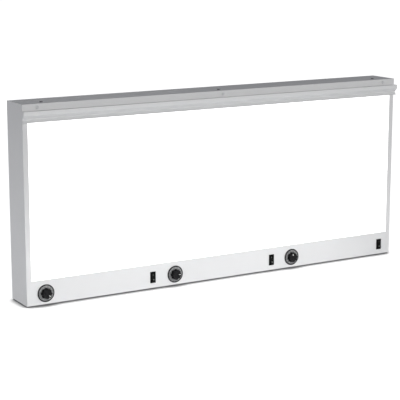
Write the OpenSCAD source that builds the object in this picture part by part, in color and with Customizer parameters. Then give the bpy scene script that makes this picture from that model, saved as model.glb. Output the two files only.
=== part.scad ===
// Three-bay x-ray film viewer: a flat steel light box that stands on its lower edge or hangs
// on a wall. Films are pushed up behind the aluminium rail, where loose rollers hold them in
// front of one opal screen. Each bay has two lamps, a dimmer and a rocker switch.
// Millimetres. X runs to the right, the screen faces -Y, Z is up and zero is the standing surface.

/* [Body] */
// Width of the steel body, without the end caps of the rail
body_w = 1176; // [1080:1:1260]
// Height of the steel body, without the feet
body_h = 524; // [500:1:580]
// Depth of the body from the front sheet's face to the back
body_d = 101; // [92:1:130]
// Thickness of the steel sheet
sheet_t = 1.2; // [0.8:0.1:2]
// Outer radius of the bends at the back
bend_r = 3; // [2.2:0.1:8]

/* [Front frame] */
// Width of the strips left and right of the screen
side_strip_w = 14; // [10:0.5:20]
// Distance from the side of the body to the edge of the outer bay
bay_margin = 12; // [8:0.5:14]
// Height of the control strip below the screen
control_strip_h = 65; // [60:0.5:80]
// Depth of the folded edges that reach into the housing
frame_flange = 30; // [27:0.5:31]

/* [Film rail] */
// Height of the flat leg that is screwed to the front frame
header_h = 17.5; // [14:0.5:24]
// Thickness of that leg
header_t = 1.8; // [1.2:0.1:2.6]
// How far the rail stands out from the front
rail_depth = 14.5; // [13:0.5:18]
// Height of the upright front of the rail
rail_front_h = 10; // [8:0.5:13]
// Wall of the rail
rail_wall = 1.6; // [1.2:0.1:2]
// How far the neck under the slope stands out
neck_proud = 4.6; // [4.4:0.1:5.4]
// Height of the neck
neck_h = 1.5; // [1:0.1:4]
// How far the flared lip stands out
lip_proud = 9.5; // [7:0.1:11]
// Height of the flared lip
lip_h = 7; // [5:0.1:10]
// Thickness of the end caps
cap_t = 2; // [1.5:0.1:3]
// Length of the end caps' plugs inside the rail
plug_len = 10; // [6:0.5:14]

/* [Film grip] */
// Radius of the rollers that press on the film
roller_r = 4.5; // [4:0.1:5]
// Free length between a roller and the stops beside it
roller_play = 1.5; // [0.5:0.1:3]
// Width of the stops between two rollers
stop_w = 6; // [4:0.5:10]

/* [Screen] */
// Thickness of the opal screen
screen_t = 3; // [2:0.5:5]
// How far the screen reaches below the window
screen_low_lap = 8; // [5:0.5:10]
// How far the screen reaches above the window
screen_top_lap = 5; // [4:0.1:5.4]
// How far the screen reaches past the window at the sides
screen_side_lap = 6; // [4:0.5:7]
// Upright leg of the angles that hold the screen from behind
angle_leg = 10; // [6:0.5:14]

/* [Lamps] */
// Diameter of the lamp tubes
lamp_d = 26; // [24:0.5:27]
// Length of the metal cap at each end of a tube
lamp_cap_l = 12; // [8:0.5:16]
// Distance between the two tubes of a bay
lamp_spacing = 190; // [160:1:200]
// Depth of the tubes' axes behind the front
lamp_y = 48; // [46:0.5:52]
// Height of the lower lamp bracket above the underside of the body
lamp_sill = 38; // [36:0.5:42]
// Free height between the upper lamp bracket and the top sheet
lamp_head = 5; // [4.6:0.1:8]
// Height of a lamp holder
holder_h = 20; // [16:0.5:24]
// Width of a lamp holder
holder_w = 24; // [20:0.5:28]
// Depth of a lamp holder
holder_d = 26; // [24:0.5:28]
// Distance between the two contact pins of a lamp
pin_spacing = 12.7; // [11:0.1:14]
// Thickness of the reflector sheet
reflector_t = 0.8; // [0.5:0.1:1.2]
// Width of a ballast
ballast_w = 40; // [30:1:50]
// Thickness of a ballast
ballast_t = 22; // [16:0.5:24]
// Length of a ballast
ballast_l = 200; // [150:5:260]

/* [Dimmers] */
// Distance from the left edge of a bay to its dimmer
knob_inset = 41; // [34:0.1:50]
// Height of knobs and switches above the underside of the body
control_z = 29.5; // [29:0.5:33]
// Diameter of the black dial base
dial_d = 47; // [44:0.5:52]
// Height of the dial base's rim
dial_h = 3.5; // [2.9:0.1:5]
// Diameter of the grey dial ring
ring_d = 41; // [38:0.5:42]
// Thickness of the dial ring
ring_t = 1.2; // [0.8:0.1:1.3]
// Diameter of the knob at its foot
knob_d = 30; // [28:0.5:34]
// Diameter of the knob at its top
knob_top_d = 27; // [25:0.5:28]
// Height of the knob
knob_h = 9.5; // [8:0.5:14]
// Number of finger flutes round the knob
flute_count = 8; // [6:1:12]
// Where the mark of the left knob points, clockwise from the top
knob_angle_1 = 135; // [-150:5:150]
// Where the mark of the middle knob points
knob_angle_2 = 90; // [-150:5:150]
// Where the mark of the right knob points
knob_angle_3 = -10; // [-150:5:150]
// Diameter of the dimmer's body behind the front
pot_d = 24; // [20:0.5:28]
// Depth of that body
pot_depth = 10; // [8:0.5:14]
// Diameter of the turning shaft
shaft_d = 6; // [5:0.1:6.4]
// Diameter of the threaded bush
bush_d = 9; // [8.4:0.1:10]

/* [Switches] */
// Distance from the right edge of a bay to its switch
switch_inset = 28; // [24:0.5:36]
// Width of the switch bezel
bezel_w = 16; // [15.6:0.1:18]
// Height of the switch bezel
bezel_h = 31; // [30.2:0.1:34]
// Thickness of the switch bezel
bezel_t = 2; // [1.5:0.1:3]
// Depth of the switch body behind the front
switch_depth = 20; // [16:0.5:22]
// Width of the rocker
rocker_w = 11; // [9:0.1:11.4]
// Radius of the rocker's ends round its pivot
rocker_r = 12.5; // [11.5:0.1:12.8]
// Tilt of the rocker to either side, in degrees
rocker_tilt = 12; // [9:0.5:14]
// Length of the terminals
blade_l = 9; // [6:0.5:10]

/* [Mains inlet] */
// Height of the inlet above the underside of the body
inlet_z = 19; // [17:0.5:21]
// Depth of the inlet behind the front
inlet_y = 66; // [56:0.5:68]
// Length of the inlet flange
inlet_w = 50; // [49:0.5:54]
// Height of the inlet flange
inlet_h = 22.5; // [21.5:0.5:26]
// Distance between the inlet's two screws
inlet_screws_w = 40; // [37:0.5:41]

/* [Back] */
// Distance between the two keyholes
keyhole_spacing = 600; // [500:1:680]
// Distance of the keyholes below the top of the body
keyhole_drop = 60; // [45:1:90]
// Radius of the keyholes' round entries
keyhole_r = 5; // [4:0.1:6]
// Width of the keyholes' slots
keyhole_slot = 5.4; // [4:0.1:5.6]
// Length of the keyholes' slots, from the centre of the entry
keyhole_rise = 12; // [9:0.5:20]
// Length of a vent slot
vent_l = 60; // [30:1:90]
// Height of a vent slot
vent_h = 4; // [3:0.1:5]
// Distance between two vent slots
vent_pitch = 9; // [7:0.5:12]
// Number of vent slots in a group
vent_count = 6; // [3:1:8]

/* [Feet] */
// Height of the rubber feet under the body
foot_h = 3.5; // [3:0.1:6]
// Diameter of the rubber feet
foot_d = 18; // [14:0.5:24]
// Distance of the feet from the sides
foot_inset_x = 42; // [30:1:90]
// Distance of the feet from front and back
foot_inset_y = 19; // [16:0.5:26]

/* [Fasteners] */
// Diameter of the screws
screw_d = 4; // [3:0.1:4.4]
// Diameter of the screw heads
head_d = 8.4; // [7:0.1:9]
// Height of the screw heads
head_h = 2.4; // [1.8:0.1:3]
// Distance of the outer rail screws from the ends of the body
rail_screw_inset = 41; // [30:1:80]
// Distance of the outer top and bottom screws from the sides of the body
edge_screw_inset = 62; // [56:1:90]
// Distance of the top and bottom screws from the front
edge_screw_y = 22; // [16:0.5:23]

/* [Fits] */
// Gap between parts that only rest on each other
seat_gap = 0.3; // [0.2:0.05:0.4]
// Radial play of turning parts
fit_gap = 0.05; // [0.02:0.01:0.09]

/* [Hidden] */
$fn = 64;
// Bays of the viewer
bay_count = 3;
// Overrun of every cut past the face it leaves
cut = 1;

// Finishes
steel_paint = [0.84, 0.85, 0.86];
rail_metal = [0.80, 0.81, 0.82];
opal = [0.98, 0.98, 0.97];
bright_white = [0.95, 0.95, 0.94];
dark_metal = [0.18, 0.18, 0.19];
zinc = [0.70, 0.71, 0.72];
black_plastic = [0.07, 0.07, 0.08];
white_plastic = [0.92, 0.92, 0.90];
ring_grey = [0.48, 0.49, 0.50];
rubber_black = [0.10, 0.10, 0.10];
wire_grey = [0.35, 0.36, 0.38];

// Heights above the standing surface
under_z = foot_h;
top_z = foot_h + body_h;
shelf_z = top_z - header_h;
sill_z = foot_h + control_strip_h;
// The window ends a little below the underside of the rail's shelf
window_top_z = shelf_z - rail_wall - seat_gap;
panel_z = foot_h + control_z;

// Widths
window_w = body_w - 2 * side_strip_w;
bay_w = (body_w - 2 * bay_margin) / bay_count;
inner_w = body_w - 2 * sheet_t;
inner_back_y = body_d - sheet_t;
// The part is centred on the box round it, from the rail's front to the back
mid_y = (body_d - rail_depth) / 2;

// Cross-section of the film rail: first number is depth, second is height above the shelf
slope_sum = -rail_front_h - rail_depth + rail_wall * sqrt(2);
neck_top = -rail_front_h - rail_depth + neck_proud;
neck_low = neck_top - neck_h;
lip_low = neck_low - lip_h;
lip_run = lip_proud - neck_proud;
lip_len = sqrt(lip_run * lip_run + lip_h * lip_h);
lip_back = [rail_wall * lip_h / lip_len, -rail_wall * lip_run / lip_len];
neck_in = -(neck_proud - rail_wall);
front_in = -(rail_depth - rail_wall);
// Height at which the inner faces of neck and lip meet
lip_meet = neck_low + lip_back[1] - rail_wall * (lip_h - lip_len) / lip_run * lip_h / lip_len;
rail_outline = [
    [0, header_h], [-header_t, header_h], [-header_t, 0],
    [-rail_depth, 0], [-rail_depth, -rail_front_h],
    [-neck_proud, neck_top], [-neck_proud, neck_low], [-lip_proud, lip_low],
    [-lip_proud, lip_low] + lip_back, [neck_in, lip_meet],
    [neck_in, slope_sum - neck_in], [front_in, slope_sum - front_in],
    [front_in, -rail_wall], [0, -rail_wall]
];
// Outline of the end caps, which end at the shelf and are closed behind the lip
cap_outline = [
    [0, 0], [-rail_depth, 0], [-rail_depth, -rail_front_h],
    [-neck_proud, neck_top], [-neck_proud, neck_low], [-lip_proud, lip_low],
    [-lip_proud, lip_low] + lip_back, [0, lip_low + lip_back[1]]
];
// Room in the channel in front of the film, where stops and plugs sit
stop_back = neck_in - seat_gap;
stop_front = front_in + seat_gap;
stop_top = -rail_wall - seat_gap;
stop_sum = slope_sum + seat_gap * sqrt(2);
stop_outline = [
    [stop_back, stop_top], [stop_front, stop_top],
    [stop_front, stop_sum - stop_front], [stop_back, stop_sum - stop_back]
];

// Screen and the angles that hold it
screen_y = sheet_t + seat_gap;
screen_back_y = screen_y + screen_t;
screen_low_z = sill_z - screen_low_lap;
screen_top_z = window_top_z + screen_top_lap;
screen_w = window_w + 2 * screen_side_lap;
angle_w = window_w;

// Rollers rest between the screen and the rail's slope
roller_y = screen_y - roller_r - seat_gap;
roller_z = shelf_z + slope_sum - roller_y + (roller_r + seat_gap) * sqrt(2);
roller_l = bay_w - stop_w - 2 * roller_play;
roller_chamfer = 0.6;
outer_roller_l = roller_l - (plug_len - bay_margin) - stop_w / 2;

// Lamps
lower_plate_z = under_z + lamp_sill;
upper_plate_z = top_z - sheet_t - lamp_head - sheet_t;
lamp_low_z = lower_plate_z + holder_h + seat_gap;
lamp_top_z = upper_plate_z - holder_h - seat_gap;
lamp_l = lamp_top_z - lamp_low_z;
lamp_pin_r = 1.2;
lamp_pin_l = 7;
lamp_pin_play = 0.2;
bracket_front_y = lamp_y - holder_d / 2 - 3 * sheet_t;
bracket_flange = 14;
bracket_w = body_w - 60 * sheet_t;
lead_hole_r = 3;

// Reflector: flat back and two sloping wings, as seen from above
wing_gap = 3;
wing_x = bay_w / 2 - wing_gap;
wing_y = 16;
pan_y = lamp_y + lamp_d;
pan_share = 0.68;
pan_x = wing_x * pan_share;
wing_lip = 6;

// Ballasts and their feet
ballast_foot = 10;
ballast_foot_t = 1.5;
ballast_z = under_z + body_h / 2 - ballast_l / 2 - 10 * sheet_t;
ballast_lead_x = ballast_w / 4;

// Dials and knobs, heights above the front face
dial_floor = 1.5;
dial_chamfer = 0.8;
rim_in_r = ring_d / 2 + seat_gap;
ring_in_r = knob_top_d / 2 - 2 * ring_t;
knob_gap = 0.4;
knob_low = dial_floor + ring_t + knob_gap;
knob_top = knob_low + knob_h;
knob_edge = 0.9;
flute_r = 4.2;
flute_depth = 2;
nut_t = 2;
nut_d = bush_d + 4;
bush_top = dial_floor + nut_t + 1.2;
knob_recess_r = nut_d / 2 + 1.2;
knob_recess_h = bush_top - knob_low + 1.2;
knob_bore_top = knob_top - 2;
mark_w = 1.2;
mark_deep = 0.5;
mark_share = 0.45;
bore_low = sheet_t + pot_depth - 3;
pot_lug_w = 1.6;
pot_lug_t = 0.6;
pot_lug_l = 7;
pot_lug_pitch = 5;

// Switches, heights above the front face
pocket_gap = 0.2;
switch_body_w = bezel_w - 1.6;
switch_body_h = bezel_h - 3.2;
pocket_w = rocker_w + 2 * pocket_gap;
pocket_h = 2 * (rocker_r + seat_gap);
pocket_deep = 9.5;
pivot_deep = 2.5;
pivot_h = bezel_t - pivot_deep;
pivot_pin_r = 1.2;
pivot_pin_l = 0.9;
pivot_floor = 0.15;
rocker_valley = 3;
rocker_under = 2.5;
rocker_span = 2 * rocker_r;
blade_w = 6.3;
blade_t = 0.8;
blade_pitch = 8.4;
blade_count = 3;

// Mains inlet: sizes of the socket for an appliance connector
socket_w = 24.4;
socket_h = 17;
socket_chamfer = 4;
socket_deep = 15;
socket_wall = 1.6;
inlet_body_l = socket_deep + 4;
inlet_pin_t = 2;
inlet_pin_w = 4;
inlet_pin_x = 7;
inlet_pin_z = 2;
inlet_pin_back = 2;
inlet_tail = 7;
inlet_screw_r = 1.6;
inlet_head_r = 2.9;
inlet_head_h = 1.5;
inlet_thread_l = 7;
inlet_side_x = body_w / 2;
inlet_mid_z = under_z + inlet_z;

// Terminal block
block_w = 60;
block_d = 20;
block_h = 16;
block_x = body_w / 2 - 3 * block_w;
block_ways = 6;
block_slot = 2;
block_rib_h = 4;

// Wiring
trunk_r = 3;
lead_r = 1.5;
lead_bend = 2.8;
wire_sides = 8;
trunk_y = inlet_y;
trunk_z = under_z + sheet_t + block_h / 2;
trunk_end_x = body_w / 2 - bay_margin - knob_inset + 2 * trunk_r;
riser_y = 45;
pot_riser_y = 26;
crown_z = top_z - sheet_t - lamp_head / 2;

// Back openings
vent_low_z = under_z + lamp_sill + 20 * sheet_t;
vent_top_z = top_z - keyhole_drop - vent_count * vent_pitch;

// Screws
screw_play = 0.2;
screw_l = 8;
foot_head_r = 3.4;
foot_head_h = 1.5;
foot_sink = 2.2;
foot_screw_l = 6;
foot_chamfer = 0.8;

// Places of the repeated controls
function bay_left(i) = -bay_count * bay_w / 2 + (i - 1) * bay_w;
function bay_mid(i) = bay_left(i) + bay_w / 2;
function knob_x(i) = bay_left(i) + knob_inset;
function switch_x(i) = bay_left(i) + bay_w - switch_inset;
function lamp_x(i, side) = bay_mid(i) + side * lamp_spacing / 2;
function roller_x(i) = bay_mid(i) + (2 - i) * (roller_l - outer_roller_l) / 2;
function roller_len(i) = i == 2 ? roller_l : outer_roller_l;
function rail_screw_x() = [-body_w / 2 + rail_screw_inset, 0, body_w / 2 - rail_screw_inset];
function edge_screw_x() = [-body_w / 2 + edge_screw_inset, 0, body_w / 2 - edge_screw_inset];
knob_angles = [knob_angle_1, knob_angle_2, knob_angle_3];

// Puts the children, drawn with the front face at y = 0, into the part's frame
module placed() {
    translate([0, -mid_y, 0]) children();
}

// Extrudes a section given as depth and height along X, centred
module along_x(length) {
    translate([-length / 2, 0, 0]) rotate([90, 0, 90]) linear_extrude(length) children();
}

// Local frame on the front face: x right, y up, z out of the face
module on_front(x, z) {
    translate([x, 0, z]) rotate([90, 0, 0]) children();
}

// Local frame on the right side: x to the back, y up, z out of the side
module on_side() {
    translate([inlet_side_x, inlet_y, inlet_mid_z]) rotate([90, 0, 90]) children();
}

// Box between two corners
module block(low, high) {
    translate(low) cube(high - low);
}

// Flat slot with round ends, lying along x
module slot_2d(length, width) {
    square([length - width, width], center = true);
    for (side = [-1, 1]) translate([side * (length - width) / 2, 0]) circle(d = width);
}

// Rectangle whose two corners at the far end of the first axis are round
module bent_2d(deep, wide, r) {
    translate([0, -wide / 2]) square([deep - r, wide]);
    translate([deep - 2 * r, -wide / 2 + r]) square([2 * r, wide - 2 * r]);
    for (side = [-1, 1]) translate([deep - r, side * (wide / 2 - r)]) circle(r = r);
}

// Closed body of the tray: bends along all four edges of the back
module tray_body(wide, high, deep, r) {
    intersection() {
        linear_extrude(high) rotate(90) bent_2d(deep, wide, r);
        translate([0, 0, high / 2]) along_x(wide + cut) bent_2d(deep, high, r);
    }
}

// Screw with a pan head: head at z above zero, shank below, with a cross recess
module pan_screw(length, r = screw_d / 2) {
    difference() {
        union() {
            rotate_extrude() polygon([
                [0, 0], [head_d / 2, 0], [head_d / 2, head_h / 2], [head_d / 3, head_h], [0, head_h]
            ]);
            translate([0, 0, -length]) cylinder(r = r, h = length + head_h / 2);
        }
        for (turn = [0, 90]) rotate(turn)
            translate([-head_d / 4, -head_d / 16, head_h / 2]) cube([head_d / 2, head_d / 8, head_h]);
    }
}

// Back openings: keyholes and vent slots, as seen from the front
module back_openings_2d() {
    for (side = [-1, 1]) translate([side * keyhole_spacing / 2, top_z - keyhole_drop]) {
        circle(r = keyhole_r);
        translate([0, keyhole_rise / 2]) square([keyhole_slot, keyhole_rise], center = true);
        translate([0, keyhole_rise]) circle(d = keyhole_slot);
    }
    for (i = [1 : bay_count]) for (low = [vent_low_z, vent_top_z]) for (k = [0 : vent_count - 1])
        translate([bay_mid(i), low + k * vent_pitch]) slot_2d(vent_l, vent_h);
}

// Folded and welded steel tray: back, top, bottom and both sides
module rear_housing() {
    color(steel_paint) placed() difference() {
        translate([0, sheet_t, under_z]) tray_body(body_w, body_h, body_d - sheet_t, bend_r);
        translate([0, 0, under_z + sheet_t])
            tray_body(inner_w, body_h - 2 * sheet_t, inner_back_y, bend_r - sheet_t);
        translate([0, body_d + cut, 0]) rotate([90, 0, 0])
            linear_extrude(sheet_t + 2 * cut) back_openings_2d();
        for (x = edge_screw_x()) for (z = [under_z, top_z])
            translate([x, edge_screw_y, z - sheet_t - cut])
                cylinder(d = screw_d + 2 * screw_play, h = 2 * (sheet_t + cut));
        for (x = [-1, 1]) for (y = [foot_inset_y, body_d - foot_inset_y])
            translate([x * (body_w / 2 - foot_inset_x), y, under_z - cut])
                cylinder(d = screw_d + 2 * screw_play, h = sheet_t + 2 * cut);
        on_side() translate([0, 0, -sheet_t - cut]) linear_extrude(sheet_t + 2 * cut) {
            square([socket_w + 2 * socket_wall + 2 * screw_play,
                socket_h + 2 * socket_wall + 2 * screw_play], center = true);
            for (side = [-1, 1]) translate([side * inlet_screws_w / 2, 0])
                circle(r = inlet_screw_r + screw_play);
        }
    }
}

// Front sheet with the window, the control strip and folded edges inside the housing
module front_frame() {
    flange_x = inner_w / 2 - seat_gap;
    flange_low = under_z + sheet_t + seat_gap;
    flange_top = top_z - sheet_t - seat_gap;
    color(steel_paint) placed() difference() {
        union() {
            translate([0, sheet_t, 0]) rotate([90, 0, 0]) linear_extrude(sheet_t)
                translate([-body_w / 2, under_z]) square([body_w, body_h]);
            for (side = [-1, 1]) {
                block([side * flange_x - (side > 0 ? sheet_t : 0), 0, sill_z],
                    [side * flange_x + (side > 0 ? 0 : sheet_t), frame_flange, shelf_z]);
            }
            block([-flange_x, 0, flange_low], [flange_x, frame_flange, flange_low + sheet_t]);
            block([-flange_x, 0, flange_top - sheet_t], [flange_x, frame_flange, flange_top]);
        }
        block([-window_w / 2, -cut, sill_z], [window_w / 2, sheet_t + cut, window_top_z]);
        for (i = [1 : bay_count]) {
            on_front(knob_x(i), panel_z) translate([0, 0, -sheet_t - cut])
                cylinder(d = bush_d + 2 * screw_play, h = sheet_t + 2 * cut);
            on_front(switch_x(i), panel_z) translate([0, 0, -sheet_t - cut])
                linear_extrude(sheet_t + 2 * cut)
                    square([switch_body_w, switch_body_h] + 2 * [pocket_gap, pocket_gap], center = true);
        }
        for (x = rail_screw_x()) on_front(x, top_z - header_h / 2)
            translate([0, 0, -sheet_t - cut]) cylinder(d = screw_d + 2 * fit_gap, h = sheet_t + 2 * cut);
        for (x = edge_screw_x()) for (z = [flange_low, flange_top - sheet_t])
            translate([x, edge_screw_y, z - cut]) cylinder(d = screw_d + 2 * fit_gap, h = sheet_t + 2 * cut);
        for (x = [-1, 1]) translate([x * (body_w / 2 - foot_inset_x), foot_inset_y, flange_low - cut])
            cylinder(d = screw_d + 2 * screw_play, h = sheet_t + 2 * cut);
    }
}

// Extruded aluminium rail: flat leg, shelf, upright front, slope, neck and flared lip
module film_rail() {
    color(rail_metal) placed() difference() {
        translate([0, 0, shelf_z]) along_x(body_w) polygon(rail_outline);
        for (x = rail_screw_x()) on_front(x, top_z - header_h / 2)
            translate([0, 0, -cut]) cylinder(d = screw_d + 2 * screw_play, h = header_t + 2 * cut);
    }
}

// End cap of the rail: a plate over the part that stands out and a plug inside its channel
module rail_end_cap(side) {
    color(steel_paint) placed() translate([0, 0, shelf_z]) {
        translate([side * (body_w + cap_t) / 2, 0, 0]) along_x(cap_t) polygon(cap_outline);
        translate([side * (body_w - plug_len) / 2, 0, 0]) along_x(plug_len) polygon(stop_outline);
    }
}

// Stops in the rail's channel that keep each roller over its own bay
module roller_stops() {
    color(white_plastic) placed() for (i = [2 : bay_count])
        translate([bay_left(i), 0, shelf_z]) along_x(stop_w) polygon(stop_outline);
}

// Loose roller that wedges the film against the screen
module grip_roller(i) {
    length = roller_len(i);
    color(zinc) placed() translate([roller_x(i), roller_y, roller_z]) rotate([0, 90, 0])
        rotate_extrude() polygon([
            [0, -length / 2], [roller_r - roller_chamfer, -length / 2],
            [roller_r, -length / 2 + roller_chamfer], [roller_r, length / 2 - roller_chamfer],
            [roller_r - roller_chamfer, length / 2], [0, length / 2]
        ]);
}

// Three screws through the rail's flat leg
module rail_screws() {
    color(zinc) placed() for (x = rail_screw_x())
        on_front(x, top_z - header_h / 2) translate([0, 0, header_t]) pan_screw(screw_l);
}

// Screws that hold housing and front frame together
module top_screws() {
    color(dark_metal) placed() for (x = edge_screw_x())
        translate([x, edge_screw_y, top_z]) pan_screw(screw_l);
}

module bottom_screws() {
    color(dark_metal) placed() for (x = edge_screw_x())
        translate([x, edge_screw_y, under_z]) mirror([0, 0, 1]) pan_screw(screw_l);
}

// Opal acrylic screen behind the window
module diffuser_screen() {
    color(opal) placed()
        block([-screen_w / 2, screen_y, screen_low_z], [screen_w / 2, screen_back_y, screen_top_z]);
}

// Angle profile: a ledge from the front sheet and a leg behind the screen; up is 1 or -1
module screen_angle(edge_z, up) {
    color(zinc) placed() translate([0, 0, edge_z]) along_x(angle_w) scale_up(up) {
        translate([sheet_t, -seat_gap - sheet_t]) square([screen_t + 2 * seat_gap + sheet_t, sheet_t]);
        translate([screen_back_y + seat_gap, -seat_gap - sheet_t]) square([sheet_t, angle_leg]);
    }
}

// Turns a section upside down when up is -1
module scale_up(up) {
    mirror([0, up < 0 ? 1 : 0]) children();
}

// White sheet behind the two lamps of a bay: flat back, sloping wings, short front lips
module reflector(i) {
    outer = [
        [-wing_x, wing_y - wing_lip], [-wing_x, wing_y], [-pan_x, pan_y],
        [pan_x, pan_y], [wing_x, wing_y], [wing_x, wing_y - wing_lip]
    ];
    inner = [
        [wing_x - reflector_t, wing_y - wing_lip], [wing_x - reflector_t, wing_y - reflector_t / 2],
        [pan_x - reflector_t / 2, pan_y - reflector_t], [-pan_x + reflector_t / 2, pan_y - reflector_t],
        [-wing_x + reflector_t, wing_y - reflector_t / 2], [-wing_x + reflector_t, wing_y - wing_lip]
    ];
    color(bright_white) placed() translate([bay_mid(i), 0, lower_plate_z])
        linear_extrude(upper_plate_z - lower_plate_z - seat_gap) polygon(concat(outer, inner));
}

// Glass of the two tubes of a bay
module lamp_tubes(i) {
    color(opal) placed() for (side = [-1, 1])
        translate([lamp_x(i, side), lamp_y, lamp_low_z + lamp_cap_l])
            cylinder(d = lamp_d, h = lamp_l - 2 * lamp_cap_l);
}

// Metal caps with two contact pins at both ends of each tube
module lamp_caps(i) {
    color(zinc) placed() for (side = [-1, 1]) translate([lamp_x(i, side), lamp_y, 0]) {
        translate([0, 0, lamp_low_z + lamp_cap_l]) mirror([0, 0, 1]) lamp_cap();
        translate([0, 0, lamp_top_z - lamp_cap_l]) lamp_cap();
    }
}

module lamp_cap() {
    cylinder(d = lamp_d - 2 * lamp_pin_play, h = lamp_cap_l);
    for (side = [-1, 1]) translate([side * pin_spacing / 2, 0, lamp_cap_l - cut])
        cylinder(r = lamp_pin_r, h = lamp_pin_l + cut);
}

// Holder for one end of a tube, with two sockets; stands on z = 0
module lampholder() {
    difference() {
        union() {
            translate([-holder_w / 2, -holder_d / 2, 0]) cube([holder_w, holder_d, holder_h / 2]);
            cylinder(d = holder_w, h = holder_h);
        }
        for (side = [-1, 1]) translate([side * pin_spacing / 2, 0, holder_h - lamp_pin_l - cut])
            cylinder(r = lamp_pin_r + lamp_pin_play, h = lamp_pin_l + 2 * cut);
    }
}

module lower_lampholders() {
    color(white_plastic) placed() for (i = [1 : bay_count]) for (side = [-1, 1])
        translate([lamp_x(i, side), lamp_y, lower_plate_z]) lampholder();
}

module upper_lampholders() {
    color(white_plastic) placed() for (i = [1 : bay_count]) for (side = [-1, 1])
        translate([lamp_x(i, side), lamp_y, upper_plate_z]) mirror([0, 0, 1]) lampholder();
}

// Steel angle that carries a row of lamp holders; plate_z is its lower face
module lamp_bracket(plate_z) {
    color(zinc) placed() difference() {
        union() {
            block([-bracket_w / 2, bracket_front_y, plate_z],
                [bracket_w / 2, inner_back_y, plate_z + sheet_t]);
            block([-bracket_w / 2, inner_back_y - sheet_t, plate_z - bracket_flange],
                [bracket_w / 2, inner_back_y, plate_z + sheet_t]);
        }
        for (i = [1 : bay_count]) for (side = [-1, 1]) {
            translate([lamp_x(i, side), lamp_y, plate_z - cut])
                cylinder(r = lead_hole_r, h = sheet_t + 2 * cut);
            translate([bay_mid(i) + side * ballast_lead_x, inner_back_y - ballast_t / 2, plate_z - cut])
                cylinder(r = lead_hole_r, h = sheet_t + 2 * cut);
        }
    }
}

module lower_lamp_bracket() {
    lamp_bracket(lower_plate_z - sheet_t);
}

module upper_lamp_bracket() {
    lamp_bracket(upper_plate_z);
}

// Ballast and dimming unit of a bay, on two feet against the back
module ballast(i) {
    color(white_plastic) placed() translate([bay_mid(i), inner_back_y, ballast_z]) {
        block([-ballast_w / 2, -ballast_t, 0], [ballast_w / 2, 0, ballast_l]);
        difference() {
            block([-ballast_w / 2, -ballast_foot_t, -ballast_foot],
                [ballast_w / 2, 0, ballast_l + ballast_foot]);
            for (z = [-ballast_foot / 2, ballast_l + ballast_foot / 2])
                translate([0, cut, z]) rotate([90, 0, 0])
                    cylinder(d = screw_d, h = ballast_foot_t + 2 * cut);
        }
    }
}

// Round black base of a dial with a raised rim
module dial_base(i) {
    hole_r = bush_d / 2 + fit_gap;
    color(black_plastic) placed() on_front(knob_x(i), panel_z) rotate_extrude() polygon([
        [hole_r, 0], [dial_d / 2, 0], [dial_d / 2, dial_h - dial_chamfer],
        [dial_d / 2 - dial_chamfer, dial_h], [rim_in_r + dial_chamfer / 2, dial_h],
        [rim_in_r, dial_h - dial_chamfer / 2], [rim_in_r, dial_floor], [hole_r, dial_floor]
    ]);
}

// Grey scale ring that lies in the dial base
module dial_ring(i) {
    color(ring_grey) placed() on_front(knob_x(i), panel_z) translate([0, 0, dial_floor]) difference() {
        cylinder(d = ring_d, h = ring_t);
        translate([0, 0, -cut]) cylinder(r = ring_in_r, h = ring_t + 2 * cut);
    }
}

// Fluted knob, hollow over the nut, with a bore for the shaft and a mark in its top
module knob(i) {
    color(black_plastic) placed() on_front(knob_x(i), panel_z) rotate(-knob_angles[i - 1]) difference() {
        rotate_extrude() polygon([
            [0, knob_low], [knob_d / 2, knob_low], [knob_top_d / 2, knob_top - knob_edge],
            [knob_top_d / 2 - knob_edge, knob_top], [0, knob_top]
        ]);
        for (k = [0 : flute_count - 1]) rotate((k + 1 / 2) * 360 / flute_count)
            translate([knob_d / 2 + flute_r - flute_depth, 0, knob_low])
                rotate([0, -atan((knob_d - knob_top_d) / 2 / knob_h), 0])
                    translate([0, 0, -cut]) cylinder(r = flute_r, h = knob_h + 2 * cut);
        translate([0, 0, knob_low - cut]) cylinder(r = knob_recess_r, h = knob_recess_h + cut);
        cylinder(r = shaft_d / 2 + fit_gap, h = knob_bore_top);
        block([-mark_w / 2, knob_top_d / 2 * mark_share, knob_top - mark_deep],
            [mark_w / 2, knob_d / 2, knob_top + cut]);
    }
}

// Shaft that turns with the knob
module dimmer_shaft(i) {
    color(zinc) placed() on_front(knob_x(i), panel_z) translate([0, 0, -bore_low + seat_gap])
        cylinder(d = shaft_d, h = bore_low + knob_bore_top - 2 * seat_gap);
}

// Body of a dimmer behind the front, with its threaded bush and solder lugs
module potentiometer(i) {
    color(zinc) placed() on_front(knob_x(i), panel_z) difference() {
        union() {
            translate([0, 0, -sheet_t - pot_depth]) cylinder(d = pot_d, h = pot_depth);
            translate([0, 0, -sheet_t - cut]) cylinder(d = bush_d, h = sheet_t + cut + bush_top);
            for (k = [-1 : 1]) translate([k * pot_lug_pitch, 0, -sheet_t - pot_depth / 2])
                block([-pot_lug_w / 2, -pot_d / 2 - pot_lug_l, -pot_lug_t / 2],
                    [pot_lug_w / 2, 0, pot_lug_t / 2]);
        }
        translate([0, 0, -bore_low]) cylinder(r = shaft_d / 2 + fit_gap, h = bore_low + bush_top + cut);
    }
}

// Six-sided nuts that hold base and dimmer to the front
module dimmer_nuts() {
    color(zinc) placed() for (i = [1 : bay_count]) on_front(knob_x(i), panel_z)
        translate([0, 0, dial_floor]) difference() {
            cylinder(d = nut_d, h = nut_t, $fn = 6);
            translate([0, 0, -cut]) cylinder(d = bush_d + 2 * fit_gap, h = nut_t + 2 * cut);
        }
}

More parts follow.
